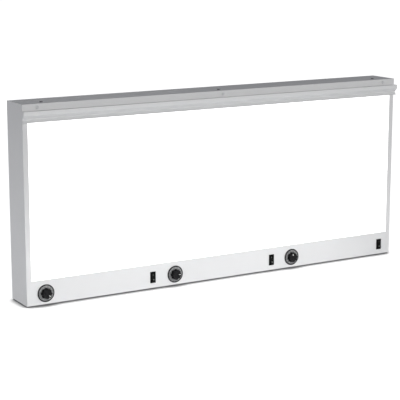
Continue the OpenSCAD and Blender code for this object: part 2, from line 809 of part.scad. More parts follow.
// Switch: bezel on the front, body behind it, pocket for the rocker, three terminals
module switch_body(i) {
    color(black_plastic) placed() on_front(switch_x(i), panel_z) difference() {
        union() {
            translate([-bezel_w / 2, -bezel_h / 2, 0]) cube([bezel_w, bezel_h, bezel_t]);
            translate([-switch_body_w / 2, -switch_body_h / 2, -switch_depth])
                cube([switch_body_w, switch_body_h, switch_depth + bezel_t / 2]);
            for (k = [0 : blade_count - 1])
                translate([-blade_t / 2, (k - (blade_count - 1) / 2) * blade_pitch - blade_w / 2,
                    -switch_depth - blade_l])
                    cube([blade_t, blade_w, blade_l + cut]);
        }
        translate([-pocket_w / 2, -pocket_h / 2, bezel_t - pocket_deep])
            cube([pocket_w, pocket_h, pocket_deep + cut]);
        translate([0, 0, pivot_h]) rotate([0, 90, 0])
            cylinder(r = pivot_pin_r + fit_gap, h = pocket_w + 2 * (pivot_pin_l + pivot_floor),
                center = true);
    }
}

// Rocker: two faces at a shallow angle, round ends about the pivot, pivot pins; rests switched on
module rocker(i) {
    rise = rocker_span * tan(rocker_tilt);
    color(black_plastic) placed() on_front(switch_x(i), panel_z) translate([0, 0, pivot_h])
        rotate([-rocker_tilt, 0, 0]) {
            along_x(rocker_w) intersection() {
                circle(r = rocker_r);
                polygon([
                    [-rocker_span, -rocker_under], [rocker_span, -rocker_under],
                    [rocker_span, rocker_valley + rise], [0, rocker_valley],
                    [-rocker_span, rocker_valley + rise]
                ]);
            }
            rotate([0, 90, 0])
                cylinder(r = pivot_pin_r, h = pocket_w + 2 * pivot_pin_l - 2 * pivot_floor, center = true);
        }
}

// Socket outline of the inlet, with two cut corners beside the earth pin
module socket_2d() {
    polygon([
        [-socket_w / 2, -socket_h / 2], [socket_w / 2, -socket_h / 2],
        [socket_w / 2, socket_h / 2 - socket_chamfer], [socket_w / 2 - socket_chamfer, socket_h / 2],
        [-socket_w / 2 + socket_chamfer, socket_h / 2], [-socket_w / 2, socket_h / 2 - socket_chamfer]
    ]);
}

// The three pins of the inlet in the section of the socket
module inlet_pins_2d(grow) {
    for (place = [[-inlet_pin_x, -inlet_pin_z], [0, inlet_pin_z], [inlet_pin_x, -inlet_pin_z]])
        translate(place) square([inlet_pin_t + 2 * grow, inlet_pin_w + 2 * grow], center = true);
}

// Appliance inlet in the right side
module mains_inlet() {
    color(black_plastic) placed() on_side() difference() {
        union() {
            translate([-inlet_w / 2, -inlet_h / 2, 0]) cube([inlet_w, inlet_h, cap_t]);
            translate([-socket_w / 2 - socket_wall, -socket_h / 2 - socket_wall, -inlet_body_l])
                cube([socket_w + 2 * socket_wall, socket_h + 2 * socket_wall, inlet_body_l + cap_t / 2]);
        }
        translate([0, 0, cap_t - socket_deep]) linear_extrude(socket_deep + cut) socket_2d();
        translate([0, 0, -inlet_body_l - cut]) linear_extrude(inlet_body_l) inlet_pins_2d(fit_gap);
        for (side = [-1, 1]) translate([side * inlet_screws_w / 2, 0, 0]) {
            translate([0, 0, -cut]) cylinder(r = inlet_screw_r + screw_play, h = cap_t + 2 * cut);
            translate([0, 0, cap_t - inlet_head_h]) countersink(screw_play);
        }
    }
}

// Cone of a countersunk head, grown by a play all round
module countersink(grow) {
    cylinder(r1 = inlet_screw_r + grow, r2 = inlet_head_r + grow, h = inlet_head_h);
}

module inlet_pins() {
    color(zinc) placed() on_side() translate([0, 0, -inlet_body_l - inlet_tail])
        linear_extrude(inlet_body_l + inlet_tail + cap_t - inlet_pin_back) inlet_pins_2d(0);
}

module inlet_screws() {
    color(dark_metal) placed() on_side() for (side = [-1, 1]) translate([side * inlet_screws_w / 2, 0, 0]) {
        translate([0, 0, cap_t - inlet_head_h]) countersink(0);
        translate([0, 0, -inlet_thread_l])
            cylinder(r = inlet_screw_r, h = inlet_thread_l + cap_t - inlet_head_h);
    }
}

// Terminal strip on the floor of the housing
module terminal_block() {
    way = block_w / block_ways;
    color(white_plastic) placed() translate([block_x, trunk_y - block_d / 2, under_z + sheet_t]) {
        cube([block_w, block_d, block_h - block_rib_h]);
        for (k = [0 : block_ways - 1]) translate([k * way + block_slot / 2, block_d / 4, 0])
            cube([way - block_slot, block_d / 2, block_h]);
    }
}

// Straight run of wire between two points that differ along one axis
module wire_run(from, to, r) {
    step = to - from;
    length = norm(step);
    turn = [step[1] != 0 ? (step[1] > 0 ? -90 : 90) : (step[2] < 0 ? 180 : 0),
        step[0] != 0 ? (step[0] > 0 ? 90 : -90) : 0, 0];
    translate(from) rotate(turn) linear_extrude(length) circle(r = r, $fn = wire_sides);
}

// Quarter bend at a corner: way_in and way_out are unit directions
module wire_bend(corner, way_in, way_out, r) {
    hub = corner + lead_bend * (way_out - way_in);
    normal = cross(way_in, way_out);
    multmatrix([
        [-way_out[0], way_in[0], normal[0], hub[0]],
        [-way_out[1], way_in[1], normal[1], hub[1]],
        [-way_out[2], way_in[2], normal[2], hub[2]],
        [0, 0, 0, 1]
    ]) rotate_extrude(angle = 90) translate([lead_bend, 0]) circle(r = r, $fn = wire_sides);
}

// Wire through a list of points, with a quarter bend at each corner
module wire(points, r) {
    last = len(points) - 1;
    ways = [for (k = [0 : last - 1]) (points[k + 1] - points[k]) / norm(points[k + 1] - points[k])];
    for (k = [0 : last - 1])
        wire_run(points[k] + (k > 0 ? lead_bend : 0) * ways[k],
            points[k + 1] - (k < last - 1 ? lead_bend : 0) * ways[k], r);
    if (last > 1) for (k = [1 : last - 1]) wire_bend(points[k], ways[k - 1], ways[k], r);
}

// Wiring: a trunk along the floor, leads to controls, lower holders, ballasts and upper holders
module wiring() {
    inlet_end_x = inlet_side_x - inlet_body_l - inlet_tail - seat_gap;
    ballast_y = inner_back_y - ballast_t / 2;
    front_tap_y = trunk_y - trunk_r - seat_gap;
    back_tap_y = trunk_y + trunk_r + seat_gap;
    switch_back_y = switch_depth + blade_l + seat_gap;
    pot_back_y = sheet_t + pot_depth + seat_gap;
    color(wire_grey) placed() {
        wire([[inlet_end_x, trunk_y, trunk_z], [block_x + block_w + seat_gap, trunk_y, trunk_z]], trunk_r);
        wire([[block_x - seat_gap, trunk_y, trunk_z], [-trunk_end_x, trunk_y, trunk_z]], trunk_r);
        for (i = [1 : bay_count]) {
            wire([[switch_x(i), front_tap_y, trunk_z], [switch_x(i), riser_y, trunk_z],
                [switch_x(i), riser_y, panel_z], [switch_x(i), switch_back_y, panel_z]], lead_r);
            wire([[knob_x(i), front_tap_y, trunk_z], [knob_x(i), pot_riser_y, trunk_z],
                [knob_x(i), pot_riser_y, panel_z], [knob_x(i), pot_back_y, panel_z]], lead_r);
            for (side = [-1, 1]) {
                wire([[lamp_x(i, side), front_tap_y, trunk_z], [lamp_x(i, side), lamp_y, trunk_z],
                    [lamp_x(i, side), lamp_y, lower_plate_z - seat_gap]], lead_r);
                wire([[bay_mid(i) + side * ballast_lead_x, back_tap_y, trunk_z],
                    [bay_mid(i) + side * ballast_lead_x, ballast_y, trunk_z],
                    [bay_mid(i) + side * ballast_lead_x, ballast_y, ballast_z - seat_gap]], lead_r);
                wire([[bay_mid(i) + side * ballast_lead_x, ballast_y, ballast_z + ballast_l + seat_gap],
                    [bay_mid(i) + side * ballast_lead_x, ballast_y, crown_z],
                    [lamp_x(i, side), ballast_y, crown_z], [lamp_x(i, side), lamp_y, crown_z],
                    [lamp_x(i, side), lamp_y, upper_plate_z + seat_gap]], lead_r);
            }
        }
    }
}

// Four low rubber feet with a sunk screw each
module rubber_feet() {
    color(rubber_black) placed() for (x = [-1, 1]) for (y = [foot_inset_y, body_d - foot_inset_y])
        translate([x * (body_w / 2 - foot_inset_x), y, 0]) difference() {
            rotate_extrude() polygon([
                [0, 0], [foot_d / 2 - foot_chamfer, 0], [foot_d / 2, foot_chamfer],
                [foot_d / 2, foot_h], [0, foot_h]
            ]);
            translate([0, 0, -cut]) cylinder(d = screw_d + 2 * screw_play, h = foot_h + 2 * cut);
            translate([0, 0, -cut]) cylinder(r = foot_head_r + seat_gap, h = foot_sink + cut);
        }
}

module foot_screws() {
    color(zinc) placed() for (x = [-1, 1]) for (y = [foot_inset_y, body_d - foot_inset_y])
        translate([x * (body_w / 2 - foot_inset_x), y, foot_sink]) {
            translate([0, 0, -foot_head_h]) cylinder(r = foot_head_r, h = foot_head_h);
            cylinder(d = screw_d, h = foot_screw_l);
        }
}

rear_housing();
front_frame();
film_rail();
rail_end_cap(-1);  // rail_end_cap_left
rail_end_cap(1);  // rail_end_cap_right
roller_stops();
grip_roller(1);  // grip_roller_1
grip_roller(2);  // grip_roller_2
grip_roller(3);  // grip_roller_3
rail_screws();
top_screws();
bottom_screws();
diffuser_screen();
screen_angle(screen_low_z, 1);  // lower_screen_angle
screen_angle(screen_top_z, -1);  // upper_screen_angle
reflector(1);  // reflector_1
reflector(2);  // reflector_2
reflector(3);  // reflector_3
lamp_tubes(1);  // lamp_tubes_1
lamp_tubes(2);  // lamp_tubes_2
lamp_tubes(3);  // lamp_tubes_3
lamp_caps(1);  // lamp_caps_1
lamp_caps(2);  // lamp_caps_2
lamp_caps(3);  // lamp_caps_3
upper_lampholders();
lower_lampholders();
upper_lamp_bracket();
lower_lamp_bracket();
ballast(1);  // ballast_1
ballast(2);  // ballast_2
ballast(3);  // ballast_3
dial_base(1);  // dial_base_1
dial_base(2);  // dial_base_2
dial_base(3);  // dial_base_3
dial_ring(1);  // dial_ring_1
dial_ring(2);  // dial_ring_2
dial_ring(3);  // dial_ring_3
knob(1);  // knob_1
knob(2);  // knob_2
knob(3);  // knob_3
dimmer_shaft(1);  // dimmer_shaft_1
dimmer_shaft(2);  // dimmer_shaft_2
dimmer_shaft(3);  // dimmer_shaft_3
potentiometer(1);  // potentiometer_1
potentiometer(2);  // potentiometer_2
potentiometer(3);  // potentiometer_3
dimmer_nuts();
switch_body(1);  // switch_body_1
switch_body(2);  // switch_body_2
switch_body(3);  // switch_body_3
rocker(1);  // rocker_1
rocker(2);  // rocker_2
rocker(3);  // rocker_3
mains_inlet();
inlet_pins();
inlet_screws();
terminal_block();
wiring();
rubber_feet();
foot_screws();
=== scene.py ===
"""Looks of the x-ray film viewer, laid out as an add-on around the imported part."""
import math

import bmesh
import bpy
import numpy as np
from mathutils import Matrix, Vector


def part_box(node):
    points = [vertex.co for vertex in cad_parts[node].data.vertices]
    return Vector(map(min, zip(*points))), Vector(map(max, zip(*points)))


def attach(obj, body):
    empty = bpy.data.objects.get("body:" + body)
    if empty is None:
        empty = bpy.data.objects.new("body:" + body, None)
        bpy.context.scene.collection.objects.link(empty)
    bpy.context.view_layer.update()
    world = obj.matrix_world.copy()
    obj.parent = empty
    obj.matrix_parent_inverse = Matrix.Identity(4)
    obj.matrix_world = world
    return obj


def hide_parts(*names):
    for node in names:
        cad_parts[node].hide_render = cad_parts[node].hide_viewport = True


bl_info = {
    "name": "X-ray Film Viewer",
    "version": (1, 0, 0),
    "blender": (4, 5, 0),
    "location": "View3D > Sidebar > Film Viewer",
    "description": "Dresses a three-bay x-ray film viewer: paint, rail, screen, dials, switches and stage",
    "category": "Object",
}

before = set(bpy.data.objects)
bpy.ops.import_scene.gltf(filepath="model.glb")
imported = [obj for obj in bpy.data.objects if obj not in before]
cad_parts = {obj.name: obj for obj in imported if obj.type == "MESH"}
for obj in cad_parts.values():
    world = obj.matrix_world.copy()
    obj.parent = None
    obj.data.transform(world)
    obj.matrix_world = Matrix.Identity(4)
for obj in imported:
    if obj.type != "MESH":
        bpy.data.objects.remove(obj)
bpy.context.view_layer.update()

MM = 0.001
BAYS = (1, 2, 3)
VIEWER = "viewer"
FULL_TURN = 2 * math.pi
# Marks printed on dials and rockers stand this far proud
PRINT_PROUD = 0.06 * MM
# Height over a rocker's pivot at which its two faces meet
VALLEY = 3 * MM


def low_high(node):
    """Lowest and highest corners of a CAD node as arrays."""
    low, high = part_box(node)
    return np.array(low), np.array(high)


def middle(node):
    """Centre of a CAD node's box."""
    low, high = low_high(node)
    return (low + high) / 2


FRONT_Y = low_high("front_frame")[0][1]


# Surfaces


def rectangle(left, right, low, high):
    """Corners of an upright rectangle, anticlockwise from the lower left."""
    return np.array([(left, low), (right, low), (right, high), (left, high)])


def rounded_outline(corners, radii):
    """Closed outline with round corners. At each corner of half angle h, an arc of radius r touches
    both sides r / tan(h) from the corner; its points are spread evenly in angle from side to side."""
    arc_points = 6
    corner = np.asarray(corners, float)
    radius = np.broadcast_to(np.asarray(radii, float), len(corner))[:, None]
    back = np.roll(corner, 1, axis=0) - corner
    ahead = np.roll(corner, -1, axis=0) - corner
    back /= np.linalg.norm(back, axis=1, keepdims=True)
    ahead /= np.linalg.norm(ahead, axis=1, keepdims=True)
    half = np.arccos(np.clip((back * ahead).sum(1), -1, 1))[:, None] / 2
    bisector = back + ahead
    bisector /= np.linalg.norm(bisector, axis=1, keepdims=True)
    centre = corner + bisector * radius / np.sin(half)
    first = corner + back * radius / np.tan(half) - centre
    last = corner + ahead * radius / np.tan(half) - centre
    sweep = (math.pi - 2 * half)[:, None, :]
    share = np.linspace(0, 1, arc_points)[None, :, None]
    arc = np.sin((1 - share) * sweep) * first[:, None, :] + np.sin(share * sweep) * last[:, None, :]
    return (centre[:, None, :] + arc / np.sin(sweep)).reshape(-1, 2)


def turned(profile, segments=96):
    """Rings of a turned form: the point (r, h) of the profile goes to (r cos t, r sin t, h)."""
    turn = np.linspace(0, FULL_TURN, segments, endpoint=False)[None, :]
    radius, height = profile[:, 0:1], profile[:, 1:2]
    return np.stack([radius * np.cos(turn), radius * np.sin(turn), height + 0 * turn], axis=-1)


def skin(rings, wrap=False):
    """Closed surface through rings of points, each joined to the next by quads. With wrap the last
    ring joins the first, and without it the two end rings are closed. Faces point outwards."""
    count, around = rings.shape[:2]
    points = rings.reshape(-1, 3)
    row = np.arange(count if wrap else count - 1)[:, None]
    column = np.arange(around)[None, :]
    here, there = row * around, (row + 1) % count * around
    beside = (column + 1) % around
    quads = np.stack([here + column, here + beside, there + beside, there + column], axis=-1)
    quads = quads.reshape(-1, 4)
    a, b, c, d = (points[quads[:, k]] for k in range(4))
    volume = (np.cross(b, c) * a).sum() + (np.cross(c, d) * a).sum()
    faces = quads.tolist()
    if not wrap:
        faces.append(np.arange(around)[::-1].tolist())
        faces.append((np.arange(around) + (count - 1) * around).tolist())
        low_cap, high_cap = points[:around], points[-around:]
        for ring, sign in ((low_cap, -1), (high_cap, 1)):
            fan = np.cross(ring - ring.mean(0), np.roll(ring, -1, axis=0) - ring.mean(0))
            volume += sign * (fan * ring.mean(0)).sum()
    if volume < 0:
        faces = [face[::-1] for face in faces]
    return points, faces


def facing_front(points, centre, height=0.0):
    """Moves points given as right, up and out of the front face to a place on the front."""
    right, up, out = points[..., 0], points[..., 1], points[..., 2]
    return np.stack([centre[0] + right, FRONT_Y - height - out, centre[2] + up], axis=-1)


def turned_about_out(points, angle):
    """Turns points clockwise, as seen from the front, about the axis out of the front face."""
    cos, sin = math.cos(angle), math.sin(angle)
    right, up = points[..., 0], points[..., 1]
    return np.stack([right * cos + up * sin, up * cos - right * sin, points[..., 2]], axis=-1)


def extruded(outline, low, high):
    """Two rings of a flat outline at two heights."""
    flat = np.concatenate([outline, np.zeros((len(outline), 1))], axis=1)
    return np.stack([flat + [0, 0, low], flat + [0, 0, high]])


def number_shape(text, height):
    """Points and faces of a plain number, centred, raised by the print's thickness."""
    digit_share = 0.7
    curve = bpy.data.curves.new(f"number_{text}", "FONT")
    curve.body = text
    curve.size = height / digit_share
    curve.align_x = "CENTER"
    curve.align_y = "CENTER"
    curve.extrude = PRINT_PROUD / 2
    curve.resolution_u = 4
    holder = bpy.data.objects.new(curve.name, curve)
    bpy.context.scene.collection.objects.link(holder)
    bpy.context.view_layer.update()
    evaluated = holder.evaluated_get(bpy.context.evaluated_depsgraph_get())
    mesh = bpy.data.meshes.new_from_object(evaluated)
    points = np.zeros(len(mesh.vertices) * 3)
    mesh.vertices.foreach_get("co", points)
    points = points.reshape(-1, 3) + [0, 0, PRINT_PROUD / 2]
    faces = [list(face.vertices) for face in mesh.polygons]
    bpy.data.objects.remove(holder)
    bpy.data.curves.remove(curve)
    bpy.data.meshes.remove(mesh)
    return points, faces


def put(name, shells, body, material, replaces=(), sharp=40):
    """Makes one piece of closed shells, which rides on a body and stands for CAD nodes."""
    points, faces, start = [], [], 0
    for shell_points, shell_faces in shells:
        points.append(shell_points)
        faces += [[start + k for k in face] for face in shell_faces]
        start += len(shell_points)
    mesh = bpy.data.meshes.new(name)
    mesh.from_pydata(np.concatenate(points).tolist(), [], faces)
    mesh.validate()
    mesh.shade_smooth()
    mesh.set_sharp_from_angle(angle=math.radians(sharp))
    piece = bpy.data.objects.new(name, mesh)
    bpy.context.scene.collection.objects.link(piece)
    return settle(piece, body, material, replaces)


def settle(piece, body, material, replaces=()):
    """Gives a piece its finish, its body and the CAD nodes that it stands for."""
    piece.data.materials.clear()
    piece.data.materials.append(material)
    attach(piece, body)
    if replaces:
        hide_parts(*replaces)
    return piece


def dress(node, material):
    """Gives a CAD node its finish."""
    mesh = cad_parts[node].data
    mesh.materials.clear()
    mesh.materials.append(material)


def round_edges(piece, radius, angle):
    """Rounds a piece's edges where its faces meet at more than an angle in degrees."""
    bevel = piece.modifiers.new("Rounded edges", "BEVEL")
    bevel.width = radius
    bevel.segments = 3
    bevel.limit_method = "ANGLE"
    bevel.angle_limit = math.radians(angle)


def soften(node, name, body, material, radius):
    """Stands a merged copy with rounded edges in for a CAD node."""
    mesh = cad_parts[node].data.copy()
    work = bmesh.new()
    work.from_mesh(mesh)
    bmesh.ops.remove_doubles(work, verts=work.verts, dist=0.002 * MM)
    flat = math.radians(0.4)
    bmesh.ops.dissolve_limit(work, angle_limit=flat, verts=work.verts, edges=work.edges)
    work.to_mesh(mesh)
    work.free()
    if "custom_normal" in mesh.attributes:
        mesh.attributes.remove(mesh.attributes["custom_normal"])
    mesh.shade_smooth()
    mesh.name = name
    piece = bpy.data.objects.new(name, mesh)
    bpy.context.scene.collection.objects.link(piece)
    round_edges(piece, radius, 35)
    weighted = piece.modifiers.new("Flat faces", "WEIGHTED_NORMAL")
    weighted.mode = "FACE_AREA"
    weighted.weight = 100
    return settle(piece, body, material, [node])


# Finishes


class Finish:
    """A principled material and the few nodes that give it its pattern."""

    def __init__(self, name, colour, roughness, metallic=0.0, specular=0.5):
        self.material = bpy.data.materials.new(name)
        self.material.use_nodes = True
        self.nodes = self.material.node_tree.nodes
        self.links = self.material.node_tree.links
        self.shader = self.nodes["Principled BSDF"]
        self.colour = tuple(colour)
        self.roughness = roughness
        self.shader.inputs["Base Color"].default_value = (*colour, 1)
        self.shader.inputs["Roughness"].default_value = roughness
        self.shader.inputs["Metallic"].default_value = metallic
        self.shader.inputs["Specular IOR Level"].default_value = specular
        self.place = self.nodes.new("ShaderNodeTexCoord")
        self.normal = None

    def mapped(self, stretch=(1, 1, 1), centre=(0, 0, 0)):
        """Object coordinates moved to a centre and stretched."""
        mapping = self.nodes.new("ShaderNodeMapping")
        mapping.inputs["Scale"].default_value = stretch
        mapping.inputs["Location"].default_value = [-c * s for c, s in zip(centre, stretch)]
        self.links.new(self.place.outputs["Object"], mapping.inputs["Vector"])
        return mapping.outputs["Vector"]

    def noise(self, scale, detail=3.0, stretch=(1, 1, 1)):
        """Noise in object coordinates; scale is in features per metre."""
        noise = self.nodes.new("ShaderNodeTexNoise")
        noise.inputs["Scale"].default_value = scale
        noise.inputs["Detail"].default_value = detail
        self.links.new(self.mapped(stretch), noise.inputs["Vector"])
        return noise.outputs["Fac"]

    def ranged(self, value, low, high, start=0.35, end=0.65):
        """Spreads a value between start and end over low to high."""
        remap = self.nodes.new("ShaderNodeMapRange")
        remap.inputs["From Min"].default_value = start
        remap.inputs["From Max"].default_value = end
        remap.inputs["To Min"].default_value = low
        remap.inputs["To Max"].default_value = high
        self.links.new(value, remap.inputs["Value"])
        return remap.outputs["Result"]

    def mottle(self, value, amount):
        """Lets a value lighten and darken the colour by a share."""
        ramp = self.nodes.new("ShaderNodeValToRGB")
        darker, lighter = ramp.color_ramp.elements
        darker.position = 0.3
        lighter.position = 0.7
        darker.color = (*[c * (1 - amount) for c in self.colour], 1)
        lighter.color = (*[min(c * (1 + amount), 1) for c in self.colour], 1)
        self.links.new(value, ramp.inputs["Fac"])
        self.links.new(ramp.outputs["Color"], self.shader.inputs["Base Color"])

    def polish(self, value, amount):
        """Lets a value change the roughness by an amount either way."""
        rough = self.ranged(value, self.roughness - amount, self.roughness + amount)
        self.links.new(rough, self.shader.inputs["Roughness"])

    def relief(self, value, strength, depth):
        """Lets a value raise the surface; depth is in metres."""
        bump = self.nodes.new("ShaderNodeBump")
        bump.inputs["Strength"].default_value = strength
        bump.inputs["Distance"].default_value = depth
        self.links.new(value, bump.inputs["Height"])
        if self.normal:
            self.links.new(self.normal, bump.inputs["Normal"])
        self.normal = bump.outputs["Normal"]
        self.links.new(self.normal, self.shader.inputs["Normal"])


def powder_coat(name, colour, roughness):
    """Baked powder coat: fine orange peel over a faint unevenness of the sheet."""
    coat = Finish(name, colour, roughness, specular=0.12)
    coat.mottle(coat.noise(9, 4), 0.012)
    coat.polish(coat.noise(60, 3), 0.05)
    coat.relief(coat.noise(900, 2), 0.12, 0.05 * MM)
    coat.relief(coat.noise(6, 1), 0.08, 0.4 * MM)
    return coat.material


def extruded_aluminium(name, colour, roughness):
    """Satin anodised extrusion: fine draw lines along X."""
    metal = Finish(name, colour, roughness, metallic=0.1, specular=0.2)
    lines = metal.noise(1, 4, stretch=(4, 2600, 2600))
    metal.mottle(lines, 0.02)
    metal.polish(metal.noise(1, 3, stretch=(9, 1400, 1400)), 0.06)
    metal.relief(lines, 0.10, 0.02 * MM)
    return metal.material


def plated_steel(name, colour, roughness, metallic=0.85):
    """Plated steel with cloudy spangle and fine scratches."""
    metal = Finish(name, colour, roughness, metallic=metallic)
    spangle = metal.nodes.new("ShaderNodeTexVoronoi")
    spangle.inputs["Scale"].default_value = 260
    metal.links.new(metal.mapped(), spangle.inputs["Vector"])
    metal.mottle(spangle.outputs["Distance"], 0.06)
    metal.polish(metal.noise(420, 3), 0.08)
    metal.relief(metal.noise(1500, 2), 0.15, 0.01 * MM)
    return metal.material


def ground_steel(name, colour, roughness):
    """Rollers ground round and round: narrow bands along X."""
    metal = Finish(name, colour, roughness, metallic=0.9)
    bands = metal.noise(1, 2, stretch=(3200, 30, 30))
    metal.mottle(bands, 0.05)
    metal.polish(bands, 0.07)
    metal.relief(bands, 0.2, 0.01 * MM)
    return metal.material


def moulded_plastic(name, colour, roughness, grain=1400, depth=0.02, specular=0.5):
    """Moulded plastic with a fine spark-eroded grain and faint flow marks. The grain is given in
    features per metre and its depth in millimetres."""
    plastic = Finish(name, colour, roughness, specular=specular)
    plastic.mottle(plastic.noise(140, 3), 0.10)
    plastic.polish(plastic.noise(300, 2), 0.05)
    plastic.relief(plastic.noise(grain, 2), 0.25, depth * MM)
    return plastic.material


def soft_rubber(name, colour, roughness):
    """Dull rubber with dust in its pores."""
    rubber = Finish(name, colour, roughness, specular=0.25)
    rubber.mottle(rubber.noise(700, 4), 0.35)
    rubber.relief(rubber.noise(1600, 3), 0.4, 0.03 * MM)
    return rubber.material


def scale_ring(name, colour, roughness, centre):
    """Ring turned on a lathe: fine grooves round its own axis."""
    metal = Finish(name, colour, roughness, metallic=0.35)
    grooves = metal.nodes.new("ShaderNodeTexWave")
    grooves.wave_type = "RINGS"
    grooves.rings_direction = "Y"
    grooves.inputs["Scale"].default_value = 420
    grooves.inputs["Distortion"].default_value = 0.6
    grooves.inputs["Detail"].default_value = 2
    metal.links.new(metal.mapped(centre=centre), grooves.inputs["Vector"])
    metal.mottle(grooves.outputs["Fac"], 0.05)
    metal.polish(metal.noise(350, 3), 0.06)
    metal.relief(grooves.outputs["Fac"], 0.2, 0.01 * MM)
    return metal.material


def opal_acrylic(name, colour, roughness, glow):
    """Opal sheet lit from behind: an even glow, a little stronger over each tube."""
    sheet = Finish(name, colour, roughness, specular=0.5)
    tubes = sheet.nodes.new("ShaderNodeTexWave")
    tubes.wave_type = "BANDS"
    tubes.bands_direction = "X"
    tubes.wave_profile = "SIN"
    # One wave for each of a bay's two tubes. At scale 1 the wave texture has this period
    period = math.pi / 10
    pitch = abs(middle("reflector_2")[0] - middle("reflector_1")[0]) / 2
    tubes.inputs["Scale"].default_value = period / pitch
    tubes.inputs["Phase Offset"].default_value = math.pi
    sheet.links.new(sheet.mapped(), tubes.inputs["Vector"])
    sheet.mottle(sheet.noise(40, 2), 0.01)
    between, over = 0.985 * glow, 1.03 * glow
    strength = sheet.ranged(tubes.outputs["Fac"], between, over, 0, 1)
    sheet.shader.inputs["Emission Color"].default_value = (*colour, 1)
    sheet.links.new(strength, sheet.shader.inputs["Emission Strength"])
    sheet.relief(sheet.noise(2, 1), 0.05, 0.3 * MM)
    return sheet.material


def frosted_glass(name, colour, roughness, glow):
    """Coated tube that glows, with a speckled phosphor inside."""
    tube = Finish(name, colour, roughness)
    tube.mottle(tube.noise(500, 3), 0.03)
    tube.polish(tube.noise(80, 2), 0.04)
    tube.shader.inputs["Emission Color"].default_value = (*colour, 1)
    tube.shader.inputs["Emission Strength"].default_value = glow
    return tube.material


# Settings


class PaintSettings(bpy.types.PropertyGroup):
    """Colours of the big surfaces."""

    steel: bpy.props.FloatVectorProperty(
        name="Steel paint", description="Colour of the powder-coated body",
        default=(0.69, 0.695, 0.70), subtype="COLOR", size=3, min=0, max=1,
    )
    steel_roughness: bpy.props.FloatProperty(
        name="Paint roughness", description="Roughness of the powder coat", default=0.5, min=0, max=1
    )
    rail: bpy.props.FloatVectorProperty(
        name="Rail", description="Colour of the satin aluminium rail",
        default=(0.69, 0.695, 0.70), subtype="COLOR", size=3, min=0, max=1,
    )
    screen_glow: bpy.props.FloatProperty(
        name="Screen glow", description="Strength of the lit screen", default=1.0, min=0, max=20
    )
    edge_radius: bpy.props.FloatProperty(
        name="Edge radius", description="Rounding of the sheet's folded and cut edges",
        default=0.45 * MM, unit="LENGTH", min=0, max=1.5 * MM,
    )


class KnobSettings(bpy.types.PropertyGroup):
    """Form of the dimmer knobs."""

    foot_diameter: bpy.props.FloatProperty(
        name="Foot diameter", description="Knob's diameter at its foot", default=30 * MM, unit="LENGTH"
    )
    top_diameter: bpy.props.FloatProperty(
        name="Top diameter", description="Knob's diameter at its top", default=27 * MM, unit="LENGTH"
    )
    flutes: bpy.props.IntProperty(
        name="Flutes", description="Number of finger flutes", default=8, min=3, max=16
    )
    flute_radius: bpy.props.FloatProperty(
        name="Flute radius", description="Radius of a finger flute", default=4.2 * MM, unit="LENGTH"
    )
    flute_depth: bpy.props.FloatProperty(
        name="Flute depth", description="Depth of a finger flute", default=2.0 * MM, unit="LENGTH"
    )
    angle_1: bpy.props.FloatProperty(
        name="Left mark", description="Where the left knob's mark points, clockwise from the top",
        default=math.radians(135), subtype="ANGLE",
    )
    angle_2: bpy.props.FloatProperty(
        name="Middle mark", description="Where the middle knob's mark points, clockwise from the top",
        default=math.radians(90), subtype="ANGLE",
    )
    angle_3: bpy.props.FloatProperty(
        name="Right mark", description="Where the right knob's mark points, clockwise from the top",
        default=math.radians(-10), subtype="ANGLE",
    )


class DialSettings(bpy.types.PropertyGroup):
    """Base, ring and scale of the dials."""

    ring: bpy.props.FloatVectorProperty(
        name="Ring", description="Colour of the scale ring",
        default=(0.13, 0.132, 0.135), subtype="COLOR", size=3, min=0, max=1,
    )
    sweep: bpy.props.FloatProperty(
        name="Sweep", description="Angle between the scale's ends", default=math.radians(300), subtype="ANGLE"
    )
    steps: bpy.props.IntProperty(
        name="Steps", description="Numbered steps of the scale", default=10, min=2, max=20
    )
    number_height: bpy.props.FloatProperty(
        name="Number height", description="Height of the scale's numbers", default=2.3 * MM, unit="LENGTH"
    )


class SwitchSettings(bpy.types.PropertyGroup):
    """Form of the rocker switches."""

    width: bpy.props.FloatProperty(
        name="Rocker width", description="Width of a rocker", default=11 * MM, unit="LENGTH"
    )
    radius: bpy.props.FloatProperty(
        name="Rocker radius", description="Radius of a rocker's ends round its pivot",
        default=12.5 * MM, unit="LENGTH",
    )
    tilt: bpy.props.FloatProperty(
        name="Tilt", description="Tilt of a rocker to either side", default=math.radians(12), subtype="ANGLE"
    )


